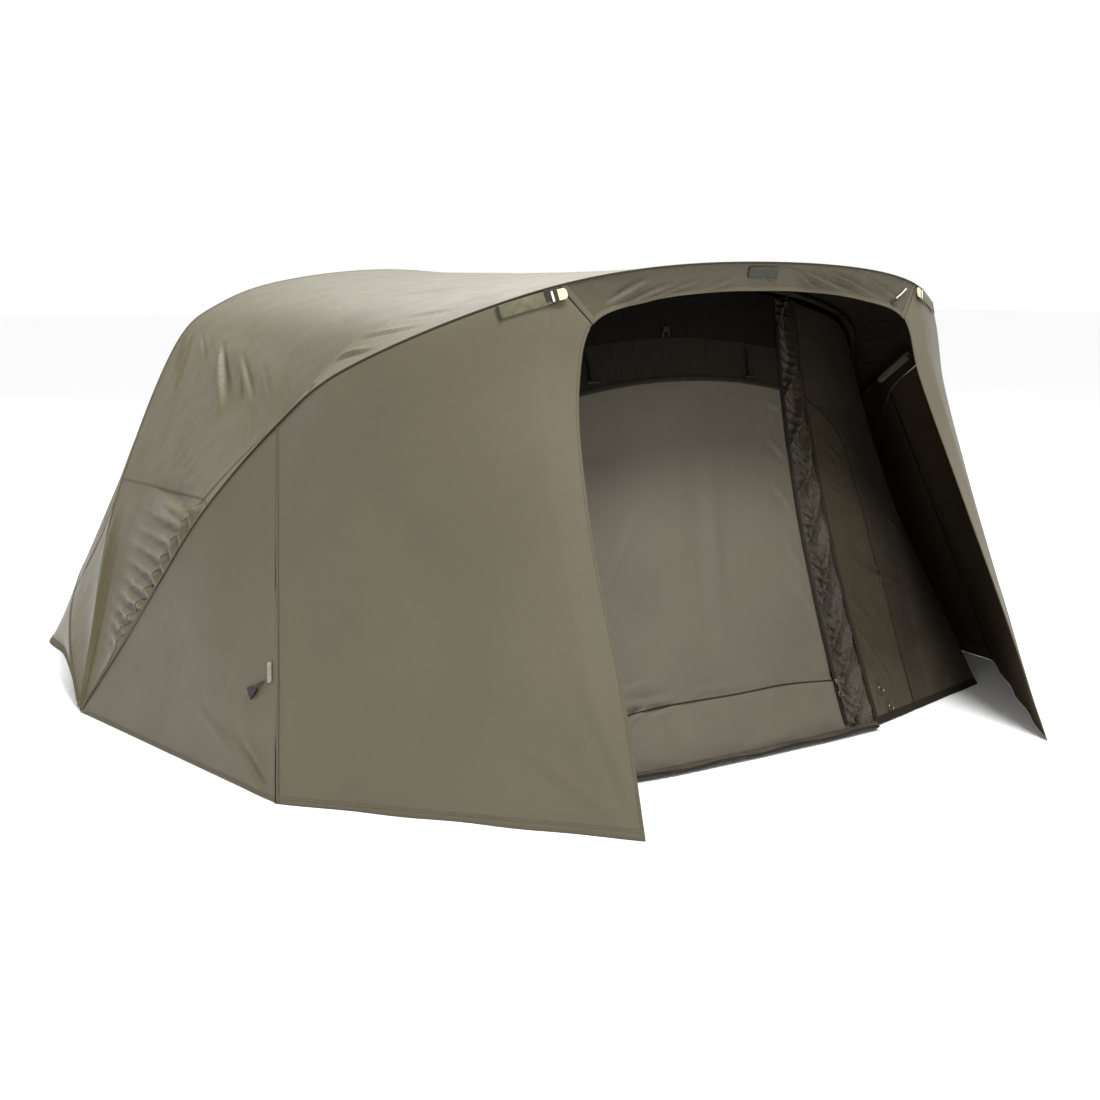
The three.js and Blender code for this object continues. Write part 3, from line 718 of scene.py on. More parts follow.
def cloth(name, q, flip, materials, how, slot, replaces, held, rests_on, kinds=None):
    """Makes a sheet over the grid q. Gives back the grid and its outward normals.

    The second material is the inner face, unless kinds gives each grid point a material of its own.
    """
    rows, cols = q.shape[:2]
    index = np.arange(rows * cols).reshape(rows, cols)
    quads = np.stack([index[:-1, :-1], index[1:, :-1], index[1:, 1:], index[:-1, 1:]], -1).reshape(-1, 4)
    if flip:
        quads = quads[:, ::-1]
    runs = run_lengths(q, 0), run_lengths(q, 1)
    kinds = None if kinds is None else kinds[:-1, :-1].ravel()
    obj = mesh_object(name, q, quads, np.stack(runs, -1), materials, kinds)
    solid = obj.modifiers.new("thickness", "SOLIDIFY")
    solid.thickness = THICKNESS
    solid.offset = -1
    if kinds is None:
        solid.material_offset = 1
        solid.material_offset_rim = 0
    go(obj, how, replaces)
    n = grid_normals(q)
    return q, -n if flip else n


def both(name):
    return [f"{name}_left", f"{name}_right"]


# ---------------- outer wrap
HEART = np.array((0, 0.15, 0.35))  # a point inside the shelter
WRAP_STEP, REAR_STEP = 0.013, 0.017
ROOF_ROWS, PORCH_ROOF_ROWS, REAR_ROWS, WALL_ROWS = 104, 34, 62, 40
ROOF_SEAM_STATION = 3.09

# Tension folds: station and row of both ends, width, height
CANOPY_FOLDS = [
    (4.03, 0.01, 3.70, 0.12, 0.009, 0.006), (4.06, 0.07, 3.62, 0.20, 0.010, 0.009),
    (4.12, 0.14, 3.86, 0.34, 0.009, 0.009), (4.16, 0.22, 3.94, 0.40, 0.008, 0.004),
    (4.22, 0.34, 3.70, 0.66, 0.015, 0.018), (4.20, 0.40, 3.82, 0.70, 0.010, -0.005),
    (4.26, 0.52, 3.92, 0.80, 0.011, 0.013), (4.10, 0.60, 3.86, 0.74, 0.008, 0.005),
    (4.30, 0.68, 4.02, 0.90, 0.010, 0.007), (4.34, 0.82, 4.12, 0.98, 0.009, 0.005),
    (3.95, 0.75, 3.62, 0.96, 0.020, 0.006), (3.22, 0.50, 3.16, 0.80, 0.009, 0.008),
    (3.30, 0.60, 3.20, 0.86, 0.007, 0.004), (3.04, 0.40, 2.84, 0.95, 0.022, 0.016),
    (5.20, 1.80, 4.70, 1.10, 0.011, 0.008), (5.50, 1.75, 4.96, 1.05, 0.008, 0.006),
    (5.80, 1.70, 5.40, 1.10, 0.010, 0.006), (6.10, 1.65, 5.70, 1.20, 0.009, 0.004),
    (4.62, 1.70, 4.36, 1.05, 0.010, 0.007), (6.35, 0.95, 5.90, 0.70, 0.014, 0.004),
    (6.75, 0.85, 6.10, 0.66, 0.014, 0.0025), (6.90, 0.72, 6.30, 0.58, 0.014, 0.002),
]
PUCKER_STEP = 0.205  # stations between two gathers
PUCKER_FROM, PUCKER_TO = 0.75, 3.02
PUCKER_HEIGHT = 0.030


def canopy_surface(s, side, v):
    """v runs from the back rib (0) over the front rib (1) to the porch seam (2)."""
    a, b, c = back_line(s, side), front_line(s, side), seam_line(s, side)
    t = np.clip(v, 0, 1)
    w = np.clip(v - 1, 0, 1)
    p = mix(mix(a, b, t[..., None]), c, w[..., None])
    dip = SAG * np.sin(np.pi * t) * slack(s)
    low = s < CREASE
    p[..., 0] -= np.where(low, side * dip, 0)
    p[..., 2] -= np.where(low, 0, dip)
    p[..., 2] -= np.where(low, 0, 0.5 * SAG * np.sin(np.pi * w) * slack(s))
    return p


def canopy_grid(run, rows):
    s, v = uv_grid(run[0], rows)
    side = uv_grid(run[1], rows)[0]
    p = canopy_surface(s, side, v)
    taut = np.sin(np.pi * np.clip(v, 0, 1)) ** 0.8 * (v < 1)
    p = smooth_rows(p, 12, bump(s, CREASE + 0.03, 0.16) * taut)
    n, flip = outward(p, p - HEART)
    h = 0.010 * bump(s, 4.22, 0.22) * taut * ramp(v, 0.12, 0.5)
    h += 0.0020 * ripples(p, (1.6, 5, 5), 3) * ramp(s, 4.2, 5.2) * taut
    h += 0.0045 * ripples(p, (2.2, 2.8, 2.8), 11) * (0.2 + taut)

    # gathers along the front rib, down to the foot
    gather = ramp(s, PUCKER_FROM, PUCKER_FROM + 0.9) * (1 - ramp(s, PUCKER_TO - 0.10, PUCKER_TO))
    wander = 0.07 * ripples(p, 4.0, 21, 2)
    wave = np.abs(np.sin(np.pi * (s + wander + 0.22 * (v - 1)) / PUCKER_STEP + 0.4 * side))
    pillow = wave**0.8 * (1 + 0.6 * ripples(p, 7.0, 25, 1)) - 0.35
    reach = ramp(v, 0.22, 0.95) * (1 - ramp(v, 1.30, 1.94))
    rough = 0.0030 * ramp(v, 0.6, 1.2) * (1 - ramp(v, 1.7, 2)) * ripples(p, 24.0, 31, 2)
    h += gather * (PUCKER_HEIGHT * reach * pillow + rough)

    for s0, v0, s1, v1, width, height in CANOPY_FOLDS:
        for way in (-1, 1):
            a, b = spot(canopy_surface, s0, way, v0), spot(canopy_surface, s1, way, v1)
            h += np.where(p[..., 0] * way > 0, fold(p, n, a, b, width, height), 0)
    pleat = 0.010 * bump(v, 0.05, 0.030) - 0.006 * bump(v, 0.14, 0.05)
    h += (1 - ramp(s, 2.2, 3.0)) * pleat + bump(v, 1, 0.03) * 0.004 * (1 - ramp(s, 3.6, 4.2))
    crumple = ramp(s, 0.1, 0.5) * (1 - ramp(s, 1.2, 2.2)) * ramp(v, 0.3, 0.8) * (1 - ramp(v, 1.8, 2))
    h += crumple * 0.010 * (creases(p, (7, 7, 7), 35, 2) - 0.3)
    h *= ramp(s, 0.0, 0.25)
    return raised(p, n, h - INSET, WRAP_LOWEST), flip


half_run = stations(front_line, FOOT, CROWN, WRAP_STEP)
wrap_run = across_tent(half_run)
COLUMNS = len(wrap_run[0])
even = np.linspace(0, 1, ROOF_ROWS)
wrap_rows = np.concatenate([
    0.65 * even + 0.35 * (0.5 - 0.5 * np.cos(np.pi * even)), 1 + np.linspace(0, 1, PORCH_ROOF_ROWS)[1:],
])
canopy = cloth("outer_wrap_canopy", *canopy_grid(wrap_run, wrap_rows), [roof_cloth, lining_shaded], "canopy", "wrap",
               ["roof_panel", "porch_roof", *both("side_panel")], "stretched",
               ["back_rib_crossbar", "front_rib_crossbar"])

canopy_seams = Batch()
ROWS = len(wrap_rows)
every = np.arange(COLUMNS, dtype=float)
c, n = along_grid(*canopy, every, ROWS - 1.35)
n = unit(calm(n, 60))
canopy_seams.ribbon(calm(c) + n * 0.0010, n, 0.013, 0.0016)
canopy_seams.bead(canopy, every, ROWS - 1, -0.001, 0.0032, kind=1)
for _, way in SIDES:
    rows = np.linspace(0.4, ROWS - 1.6, 260)
    k = np.interp(ROOF_SEAM_STATION - 0.03 * rows / ROWS, half_run, np.arange(len(half_run)))
    canopy_seams.tape(canopy, k if way < 0 else COLUMNS - 1 - k, rows, 0.0002, 0.008, 0.0011)
canopy_seams.tape(canopy, every[6:-6], 0.6, 0.0002, 0.014, 0.0012)
go(canopy_seams.build("wrap_seams", [roof_seam, piping]), "canopy")


def sheet_between(line_a, line_b, rows, sag, seed):
    """The grid of a wrap sheet between two lines, whether it is flipped, and its stations."""
    run, run_side = across_tent(stations(line_b, FOOT, CROWN, REAR_STEP))
    s, v = uv_grid(run, np.linspace(0, 1, rows))
    side = np.broadcast_to(run_side[:, None], s.shape)
    p = mix(line_a(s, side), line_b(s, side), v[..., None])
    dip = sag * np.sin(np.pi * v) * slack(s)
    p[..., 0] -= np.where(s < CREASE, side * dip, 0)
    p[..., 2] -= np.where(s < CREASE, 0, dip)
    inside = np.sin(np.pi * v) ** 0.8
    p = smooth_rows(p, 40, bump(s, CREASE, 0.3) * inside)
    n, flip = outward(p, p - HEART)
    h = 0.004 * ripples(p, (2.4, 2.4, 3.5), seed) * inside
    h += 0.006 * (creases(p, (3.0, 3.0, 1.4), seed + 3, 4) - 0.3) * inside * bump(s, 3.6, 1.0)
    h *= ramp(s, 0.0, 0.3)
    return raised(p, n, h - INSET, WRAP_LOWEST), flip, run


rear_grid, rear_flip, rear_s = sheet_between(rear_line, back_line, REAR_ROWS, SAG, 51)
rear = cloth("outer_wrap_rear_canopy", rear_grid, rear_flip, [roof_cloth, lining_shaded], "rear_canopy", "wrap",
             ["rear_roof", *both("rear_side")], "stretched", ["rear_rib_crossbar", "back_rib_crossbar"])
wall_grid, wall_flip, wall_s = sheet_between(hem_line, rear_line, WALL_ROWS, 0.006, 71)
rear_wall = cloth("outer_wrap_rear_wall", wall_grid, wall_flip, [roof_cloth, lining_shaded], "rear_wall", "wrap",
                  ["rear_wall", *both("rear_corner")], "stretched", ["rear_rib_crossbar"])

rear_seams = Batch()
rear_seams.tape(rear, np.arange(4, len(rear_s) - 4.0), 0.5, 0.0002, 0.014, 0.0013)
half = (len(rear_s) - 1) // 2
k = np.interp(3.1, rear_s[: half + 1], np.arange(half + 1))
for at in (k, len(rear_s) - 1 - k):
    rear_seams.tape(rear, at, np.linspace(0.6, REAR_ROWS - 1.6, 120), 0.0002, 0.012, 0.0012)
go(rear_seams.build("rear_canopy_seams", [roof_seam]), "rear_canopy")

wall_hem = Batch()
wall_hem.tape(rear_wall, np.arange(3, len(wall_s) - 3.0), 1.4, 0.0004, 0.030, 0.0016)
go(wall_hem.build("rear_wall_hem", [roof_seam]), "rear_wall")


# ---------------- porch wings, flanks and brow
WING_U, WING_TOP_U, WING_V = 72, 12, 100
FLANK_U, FLANK_V = 104, 72
BROW_U, BROW_V = 141, 24
PORCH_CLOTH = [porch_cloth, wing_lining_shaded]

# Folds: u and v of both ends, width, height
WING_FOLDS = [
    (0.02, 0.10, 0.06, 0.55, 0.02, 0.003), (0.96, 0.02, 0.70, 0.16, 0.02, 0.004),
    (0.99, 0.03, 0.88, 0.30, 0.02, 0.003),
]
FLANK_FOLDS = [
    (0.66, 0.27, 0.955, 0.006, 0.014, 0.005), (0.80, 0.17, 0.960, 0.004, 0.010, 0.008),
    (0.86, 0.20, 0.975, 0.03, 0.009, 0.004), (0.74, 0.15, 0.93, 0.01, 0.008, 0.004),
    (0.83, 0.10, 0.955, 0.02, 0.006, 0.004),
]
BROW_FOLDS = [
    (0.06, 0.85, 0.20, 0.35, 0.009, 0.005), (0.10, 0.95, 0.26, 0.60, 0.007, 0.004),
    (0.30, 0.95, 0.42, 0.62, 0.007, 0.003), (0.62, 0.30, 0.80, 0.95, 0.010, 0.006),
    (0.70, 0.25, 0.90, 0.90, 0.009, 0.006), (0.58, 0.20, 0.70, 0.90, 0.008, 0.004),
    (0.80, 0.20, 0.95, 0.75, 0.007, 0.004), (0.47, 0.25, 0.55, 0.9, 0.007, 0.003),
    (0.16, 0.95, 0.33, 0.55, 0.006, 0.003), (0.64, 0.65, 0.76, 0.98, 0.006, 0.003),
    (0.74, 0.60, 0.86, 0.97, 0.006, 0.003), (0.88, 0.30, 0.97, 0.85, 0.006, 0.003),
]


def wing_surface(side):
    """u runs from the ground corner to the doorway, v from the hem up to the seam."""
    corner = np.array([WING_CORNER[0] * side, WING_CORNER[1], WING_CORNER[2]]) * MM
    tip = doorway_line(np.array(0.0), side)
    brow_top = seam_line(np.array(float(BROW_START)), side)
    brow_bottom = doorway_line(np.array(float(DOORWAY_CORNER)), side)

    def top(u):
        along = np.asarray(u, float) / WING_TOP_SHARE
        on_seam = seam_line(CREASE + np.minimum(along, 1) * (BROW_START - CREASE), side)
        t = ((u - WING_TOP_SHARE) / (1 - WING_TOP_SHARE))[..., None]
        return np.where((along <= 1)[..., None], on_seam, mix(brow_top, brow_bottom, t))

    start = straight(corner, top(np.array(0.0)))
    end = lambda t: doorway_line(t * DOORWAY_CORNER, side)
    return lambda u, v: coons(straight(corner, tip), top, start, end, u, v)


def flank_surface(side):
    """u runs from the hub to the wing's ground corner, v from the hem up to the seam."""
    hub = np.array([HUB[0] * side, HUB[1], HEM_Z]) * MM
    corner = np.array([WING_CORNER[0] * side, WING_CORNER[1], WING_CORNER[2]]) * MM
    return lambda u, v: mix(mix(hub, corner, u[..., None]), seam_line(u * CREASE, side), v[..., None])


def brow_surface(u, v):
    s = CROWN - np.abs(2 * u - 1) * (CROWN - BROW_START)
    side = np.where(u < 0.5, -1.0, 1.0)
    edge = DOORWAY_CORNER + (s - BROW_START) / (CROWN - BROW_START) * (CROWN - DOORWAY_CORNER)
    return mix(seam_line(s, side), doorway_line(edge, side), v[..., None])


def porch_sheet(piece, label, way, p, n, flip, h):
    """A wing or a flank, with its hem on the ground."""
    q = raised(p, n, h - INSET, PORCH_LOWEST)
    q[:, 0, 2] = PORCH_LOWEST
    return cloth(f"porch_{piece}_{label}", q, flip, PORCH_CLOTH, "porch", "porch_cloth", [f"{piece}_{label}"],
                 "stretched", ["outer_wrap_canopy"])


wings = {}
for label, way in SIDES:
    out = (way, -1, 0.3)
    surface = wing_surface(way)
    shares = np.concatenate([np.linspace(0, WING_TOP_SHARE, WING_U),
                             np.linspace(WING_TOP_SHARE, 1, WING_TOP_U)[1:]])
    u, v = uv_grid(shares, np.linspace(0, 1, WING_V))
    p = surface(u, v * UNDER_SEAM)
    n, flip = outward(p, out)
    h = 0.005 * ripples(p, (1.3, 1.3, 0.5), 81 + way) * bulge(u, v)
    h += 0.0012 * ripples(p, (6, 6, 2.5), 83 + way) * bulge(u, v) + surface_folds(surface, WING_FOLDS, p, n)
    h += 0.004 * np.sin(2 * np.pi * u * 3.1 + 1) * (1 - ramp(v, 0, 0.10)) * np.sin(np.pi * u) ** 0.5
    wing = porch_sheet("wing", label, way, p, n, flip, h)
    wings[way] = wing, shares

    surface = flank_surface(way)
    u, v = uv_grid(np.linspace(FOOT / CREASE, 1, FLANK_U), np.linspace(0, 1, FLANK_V))
    p = surface(u, v * UNDER_SEAM)
    n, flip = outward(p, out)
    h = 0.0045 * ripples(p, (1.4, 1.4, 0.8), 91 + way) * bulge(u, v)
    h += surface_folds(surface, FLANK_FOLDS, p, n)
    flank = porch_sheet("flank", label, way, p, n, flip, h)

    seams = Batch()
    rows = np.linspace(0, WING_V - 1, 160)
    seams.tape(wing, 0.10, rows, 0.0003, 0.007, 0.0014)
    seams.tape((wing[0], -wing[1]), 0.15, rows, 0.0015, 0.018, 0.0018, kind=1)
    last = len(shares) - 1
    seams.tape(wing, np.linspace(0, last, 160), 1.5, 0.0001, 0.011, 0.0005)
    columns = np.linspace(2, FLANK_U - 1, 160)
    row_height = flank[0][np.round(columns).astype(int), -1, 2] / (FLANK_V - 1)
    rows = np.clip(0.009 / np.maximum(row_height, 1e-4), 0.6, 8)
    seams.tape(flank, columns, rows, 0.0001, 0.011, 0.0005)
    rows = np.linspace(0, WING_V - 3, 200)
    seams.tape(wing, last - 0.25, rows, 0.0001, 0.009, 0.0005)
    seams.bead(wing, last, rows, -0.0006, 0.0020)
    go(seams.build(f"wing_seams_{label}", [porch_seam, dark_piping]), "porch")

u, v = uv_grid(np.linspace(0, 1, BROW_U), np.linspace(0, 1, BROW_V))
p = brow_surface(u, 0.012 + v * 0.988)
n, flip = outward(p, (0, -1, 0.3))
h = 0.0040 * ripples(p, (5, 5, 9), 101) * np.sin(np.pi * v)
h += 1.7 * surface_folds(brow_surface, BROW_FOLDS, p, n)
brow = cloth("porch_brow", raised(p, n, h - INSET), flip, [brow_cloth_shaded, lining_shaded], "porch", "porch_cloth",
             ["brow"], "stretched", ["outer_wrap_canopy"])
brow_trim = Batch()
columns = np.linspace(0, BROW_U - 1, 240)
brow_trim.tape(brow, columns, BROW_V - 2, 0.0002, 0.012, 0.0014)
brow_trim.bead(brow, columns, BROW_V - 1, -0.0008, 0.0028)
for end in (0.9, BROW_U - 1.9):
    brow_trim.tape(brow, end, np.linspace(0, BROW_V - 1, 40), 0.0004, 0.016, 0.0020)
go(brow_trim.build("brow_seams", [porch_seam]), "porch")


# ---------------- inner front
FRONT_WAY = (0, -1, 0.3)
LEAN = unit(np.array([0, -0.93, 0.37]))  # square to the leaning inner front
DOOR_U, DOOR_V = 100, 130
VALANCE_U, VALANCE_V = 110, 34
GUSSET_U, GUSSET_V = 40, 300
PANEL_U, PANEL_V = 104, 150
DOOR_SEAM_Z = 0.170
# Share of the valance's height above which its mesh is painted darker, as shade under the roof
VALANCE_SHADE_FROM = 0.42
ZIP_FROM, ZIP_TO, COIL_STEPS = 0.02, 0.93, 700

# Folds: u and v of both ends, width, height
DOOR_FOLDS = [
    (0.010, 0.142, 0.26, 0.133, 0.010, 0.013), (0.03, 0.168, 0.16, 0.175, 0.010, 0.006),
    (0.055, 0.355, 0.29, 0.525, 0.016, 0.006), (0.085, 0.500, 0.155, 0.553, 0.009, 0.003),
    (0.30, 0.145, 0.52, 0.138, 0.010, 0.006), (0.00, 0.10, 0.16, 0.135, 0.010, 0.009),
    (0.12, 0.105, 0.34, 0.130, 0.010, 0.006), (0.50, 0.20, 0.62, 0.75, 0.040, 0.008),
    (0.97, 0.20, 0.80, 0.30, 0.02, 0.007), (0.99, 0.60, 0.90, 0.66, 0.012, 0.005),
    (0.985, 0.48, 0.90, 0.55, 0.012, 0.006), (0.98, 0.35, 0.91, 0.42, 0.012, 0.005),
    (0.985, 0.72, 0.93, 0.74, 0.010, 0.004), (0.98, 0.27, 0.92, 0.33, 0.012, 0.005),
]
PANEL_FOLDS = [
    (0.05, 0.41, 0.40, 0.33, 0.008, 0.009), (0.12, 0.37, 0.52, 0.28, 0.009, 0.011),
    (0.36, 0.33, 0.72, 0.24, 0.010, 0.009), (0.02, 0.48, 0.20, 0.44, 0.007, 0.007),
    (0.40, 0.20, 0.72, 0.12, 0.010, 0.007), (0.05, 0.22, 0.22, 0.08, 0.009, 0.008),
    (0.02, 0.30, 0.24, 0.20, 0.009, 0.009), (0.10, 0.66, 0.26, 0.61, 0.007, 0.006),
    (0.55, 0.5, 0.8, 0.38, 0.012, 0.007), (0.05, 0.56, 0.24, 0.50, 0.007, 0.006),
]
ARCH = np.array([  # the arched seam of an inner panel: height share, and share across from the gusset
    (0, 0.372), (0.1, 0.372), (0.25, 0.382), (0.36, 0.362), (0.5, 0.352), (0.58, 0.348), (0.63, 0.330),
    (0.67, 0.300), (0.70, 0.255), (0.725, 0.190), (0.742, 0.120), (0.753, 0.060), (0.760, 0.0),
])
ARCH_TOP = ARCH[-1, 0]
BAND_SHADE_TO = 0.52  # share across up to which the cloth beside the arch takes the darker band, painted shade


def upright(edge, side):
    """A side edge of an inner piece, from its foot on the ground to its x at the head."""
    foot, head_x = edge
    a = np.array([foot[0] * side * MM, foot[1] * MM, HEM_Z * MM])
    b = head_at(np.array(head_x * side * MM))

    def at(v):
        v = np.asarray(v, float)
        p = mix(a, b, v[..., None])
        p[..., 0] = a[0] + (b[0] - a[0]) * v**UPRIGHT_CURVE
        return p

    return at


def inner_surface(edge_a, side_a, edge_b, side_b):
    start, end = upright(edge_a, side_a), upright(edge_b, side_b)
    xa, xb = edge_a[1] * side_a * MM, edge_b[1] * side_b * MM
    bottom = straight(start(np.array(0.0)), end(np.array(0.0)))
    return lambda u, v: coons(bottom, lambda t: head_at(mix(xa, xb, t)), start, end, u, v)


door_surface = inner_surface(ZIPS[-1], -1, ZIPS[1], 1)


def valance_share(u):
    """Share of the door's height at which the valance's arched lower edge lies."""
    x = door_surface(u, np.full_like(u, 0.8))[..., 0]
    return (VALANCE_Z - VALANCE_DROP * (x / VALANCE_HALF) ** 2) / door_surface(u, np.ones_like(u))[..., 2]


def inner_sheet(name, q, flip, materials, replaces, slot="inner_cloth", held="hung", on="front_rib_crossbar",
                kinds=None):
    return cloth(name, q, flip, materials, "inner", slot, [replaces], held, [on], kinds)


u, v = uv_grid(np.linspace(0, 1, DOOR_U), np.linspace(0, 1, DOOR_V))
p = door_surface(u, v * valance_share(u))
n, flip = outward(p, FRONT_WAY)
z = p[..., 2]
h = 0.020 * ripples(p, (1.9, 1.9, 1.3), 111) * np.sin(np.pi * u) ** 0.6
h += 0.0022 * ripples(p, (8, 8, 5), 113)
h += surface_folds(door_surface, DOOR_FOLDS, p, n)
h -= 0.006 * bump(z, DOOR_SEAM_Z, 0.010)
h += 0.0060 * ripples(p, (26, 26, 10), 117, 2) * bump(z, DOOR_SEAM_Z, 0.045)
h += 0.008 * ripples(p, (12, 12, 16), 119, 2) * (1 - ramp(z, 0.02, 0.10))
door = inner_sheet("door_panel_cloth", raised(p, n, h - INSET), flip, [door_cloth, door_cloth], "door_panel")

u, v = uv_grid(np.linspace(0, 1, VALANCE_U), np.linspace(0, 1, VALANCE_V))
share = valance_share(u)
p = door_surface(u, share - 0.004 + v * (1.002 - share + 0.004))
n, flip = outward(p, FRONT_WAY)
h = 0.004 * ripples(p, (26, 4, 4), 123, 2) + 0.003 * ripples(p, (5, 5, 5), 125)
h += 0.004 * (1 - ramp(v, 0, 0.06))
# The valance's upper rows take the darker copy of its mesh: painted shade
valance = inner_sheet("door_valance_mesh", raised(p, n, h), flip, [mesh_cloth, mesh_top_shade], "door_valance",
                      "mesh_dark", kinds=(v > VALANCE_SHADE_FROM).astype(int))

door_trim = Batch()
rows = np.interp(DOOR_SEAM_Z, door[0][DOOR_U // 2, :, 2], np.arange(DOOR_V))
rows = rows + 0.35 * np.sin(np.linspace(0, 9, 200)) - 1.2 * ramp(np.linspace(0, 1, 200), 0.7, 1.0)
door_trim.tape(door, np.linspace(0.5, DOOR_U - 1.5, 200), rows, 0.0008, 0.005, 0.0016)
door_trim.tape(valance, np.linspace(0, VALANCE_U - 1, 200), 0.8, 0.0004, 0.014, 0.0018)
for row in (14.0, 27.0):
    door_trim.tape(valance, np.linspace(1, VALANCE_U - 2, 160), row, 0.0004, 0.005, 0.0008, kind=2)
go(door_trim.build("door_seams", [inner_seam, door_seam, valance_line]), "inner")


def gusset_sheet(label, way):
    surface = inner_surface(ZIPS[way], way, GUSSETS[way], way)
    u, v = uv_grid(np.linspace(0, 1, GUSSET_U), np.linspace(0, 1, GUSSET_V))
    p = surface(u, v)
    p[..., 1] -= GUSSET_PUFF * np.sin(np.pi * u) * np.sin(np.pi * v) ** 0.5 * 0.9
    n, flip = outward(p, FRONT_WAY)
    out, z = p[..., 0] * way, p[..., 2]
    wander = ripples(p, (5, 5, 5), 131, 2)
    broad = 1 - np.abs(np.sin(np.pi * ((z - 1.5 * out) / 0.125 + 0.5 * wander)))
    fine = 1 - np.abs(np.sin(np.pi * ((z + 1.1 * out) / 0.043 + 0.9 * wander)))
    by_zip = 1 - ramp(u, 0.25, 0.6)
    edge = np.sin(np.pi * u) ** 0.7
    h = edge * (0.034 * broad**2 + 0.022 * by_zip * fine**1.5 - 0.014)
    h += 0.006 * ripples(p, (30, 30, 22), 137, 2) * edge
    inner_sheet(f"door_gusset_cloth_{label}", raised(p, n, h), flip, [gusset_cloth, gusset_cloth],
                f"door_gusset_{label}", held="gathered")


def panel_sheet(label, way):
    surface = inner_surface(GUSSETS[way], way, INNER_CORNER, way)
    u, v = uv_grid(np.linspace(0, 1, PANEL_U), np.linspace(0, 1, PANEL_V))
    p = surface(u, v)
    n, flip = outward(p, FRONT_WAY)
    arch = np.interp(v, *ARCH.T)
    h = 0.009 * ripples(p, (2.6, 2.6, 1.8), 141) * bulge(u) + 0.0040 * ripples(p, (11, 11, 8), 143)
    h += surface_folds(surface, PANEL_FOLDS, p, n) * way
    h -= 0.004 * bump(u, arch, 0.015) * (v < ARCH_TOP)
    # Beyond the arched seam and above it the panel takes shade copies of its cloth, partly darker cloth and
    # partly painted shade; the band beside the arch is painted darkest
    kinds = ((u > arch) | (v > ARCH_TOP)).astype(int)
    shaded_band = (kinds == 1) & (u < BAND_SHADE_TO + 0.10 * v) & (v < ARCH_TOP - 0.02)
    kinds = np.where(shaded_band, 2, kinds)
    return inner_sheet(f"inner_panel_cloth_{label}", raised(p, n, h), flip,
                       [panel_cloth, panel_shade, panel_band_shade], f"inner_panel_{label}", kinds=kinds)


def side_wall_sheet(label, way):
    surface = inner_surface(INNER_CORNER, way, INNER_SIDE, way)
    u, v = uv_grid(np.linspace(0, 1, 80), np.linspace(0, 1, 70))
    p = surface(u, v)
    n, flip = outward(p, (way, -0.3, 0))
    h = 0.006 * ripples(p, (2.6, 2.6, 1.8), 151) * bulge(u, v)
    inner_sheet(f"inner_side_cloth_{label}", raised(p, n, h), flip, [panel_shade, panel_shade],
                f"inner_side_{label}", on=f"front_rib_leg_{label}")


def panel_seams(label, panel):
    knots = np.linspace(0, len(ARCH) - 1, 240)
    t, across = (np.interp(knots, np.arange(len(ARCH)), ARCH[:, k]) for k in (0, 1))
    for _ in range(30):
        across[1:-1] = (across[:-2] + across[2:]) / 2
        t[1:-1] = (t[:-2] + t[2:]) / 2
    trim = Batch()
    last_u, last_v = PANEL_U - 1, PANEL_V - 1
    trim.tape(panel, across * last_u, t * last_v, 0.0006, 0.009, 0.0016)
    trim.bead(panel, 0.0, np.linspace(0, last_v, 260), 0.003, 0.0042, kind=1)
    trim.tape(panel, 1.2, np.linspace(1, last_v - 1, 200), 0.0006, 0.020, 0.0014)
    trim.tape(panel, np.linspace(0, last_u, 140), 1.3, 0.0006, 0.024, 0.0014)
    go(trim.build(f"inner_panel_seams_{label}", [inner_seam, dark_piping]), "inner")


def zip_coil(label, way):
    """The closed zip: its tape and its coil."""
    c = upright(ZIPS[way], way)(np.linspace(ZIP_FROM, ZIP_TO, COIL_STEPS)) + LEAN * 0.006
    coil = Batch()
    coil.ribbon(c[::4], LEAN, 0.014, 0.0014)
    teeth = 1 + 0.22 * np.sin(np.arange(len(c)) * 2 * np.pi / 2.9)
    coil.tube(c + LEAN * 0.0024, 0.0025, 7, kind=1, scale=teeth)
    go(coil.build(f"door_zip_coil_{label}", [dark_piping, zip_nylon], None), "inner",
       [f"door_zip_{label}"])


for label, way in SIDES:
    gusset_sheet(label, way)
    panel = panel_sheet(label, way)
    side_wall_sheet(label, way)
    panel_seams(label, panel)
    zip_coil(label, way)


# ---------------- fittings
STRAP_FROM, STRAP_TO = 0.79, 0.900  # shares along the wing's top
STRAP_HALF, STRAP_THICK = 0.019, 0.0026
TOGGLE_FAN = [
    (-0.013, -0.008), (-0.004, -0.012), (0.020, -0.021), (0.024, -0.014), (0.019, -0.004),
    (0.026, 0.003), (0.020, 0.010), (0.022, 0.019), (0.004, 0.014), (-0.013, 0.009),
]
SLIDER_BODY = [
    (-0.009, -0.006), (0.004, -0.0085), (0.010, -0.005), (0.010, 0.005), (0.004, 0.0085), (-0.009, 0.006),
]
ROLL_UP_U = {-1: (0.205, 0.203), 1: (0.846, 0.843)}  # top and lower end, across the door
ROLL_UP_V = (0.843, 0.791)
HOOK_AT = np.array([-0.020, -0.771, 1.226])
HEM_RINGS = (((0.519, -1.232, 0.098), 0.011), ((0.546, -1.254, 0.040), 0.010))


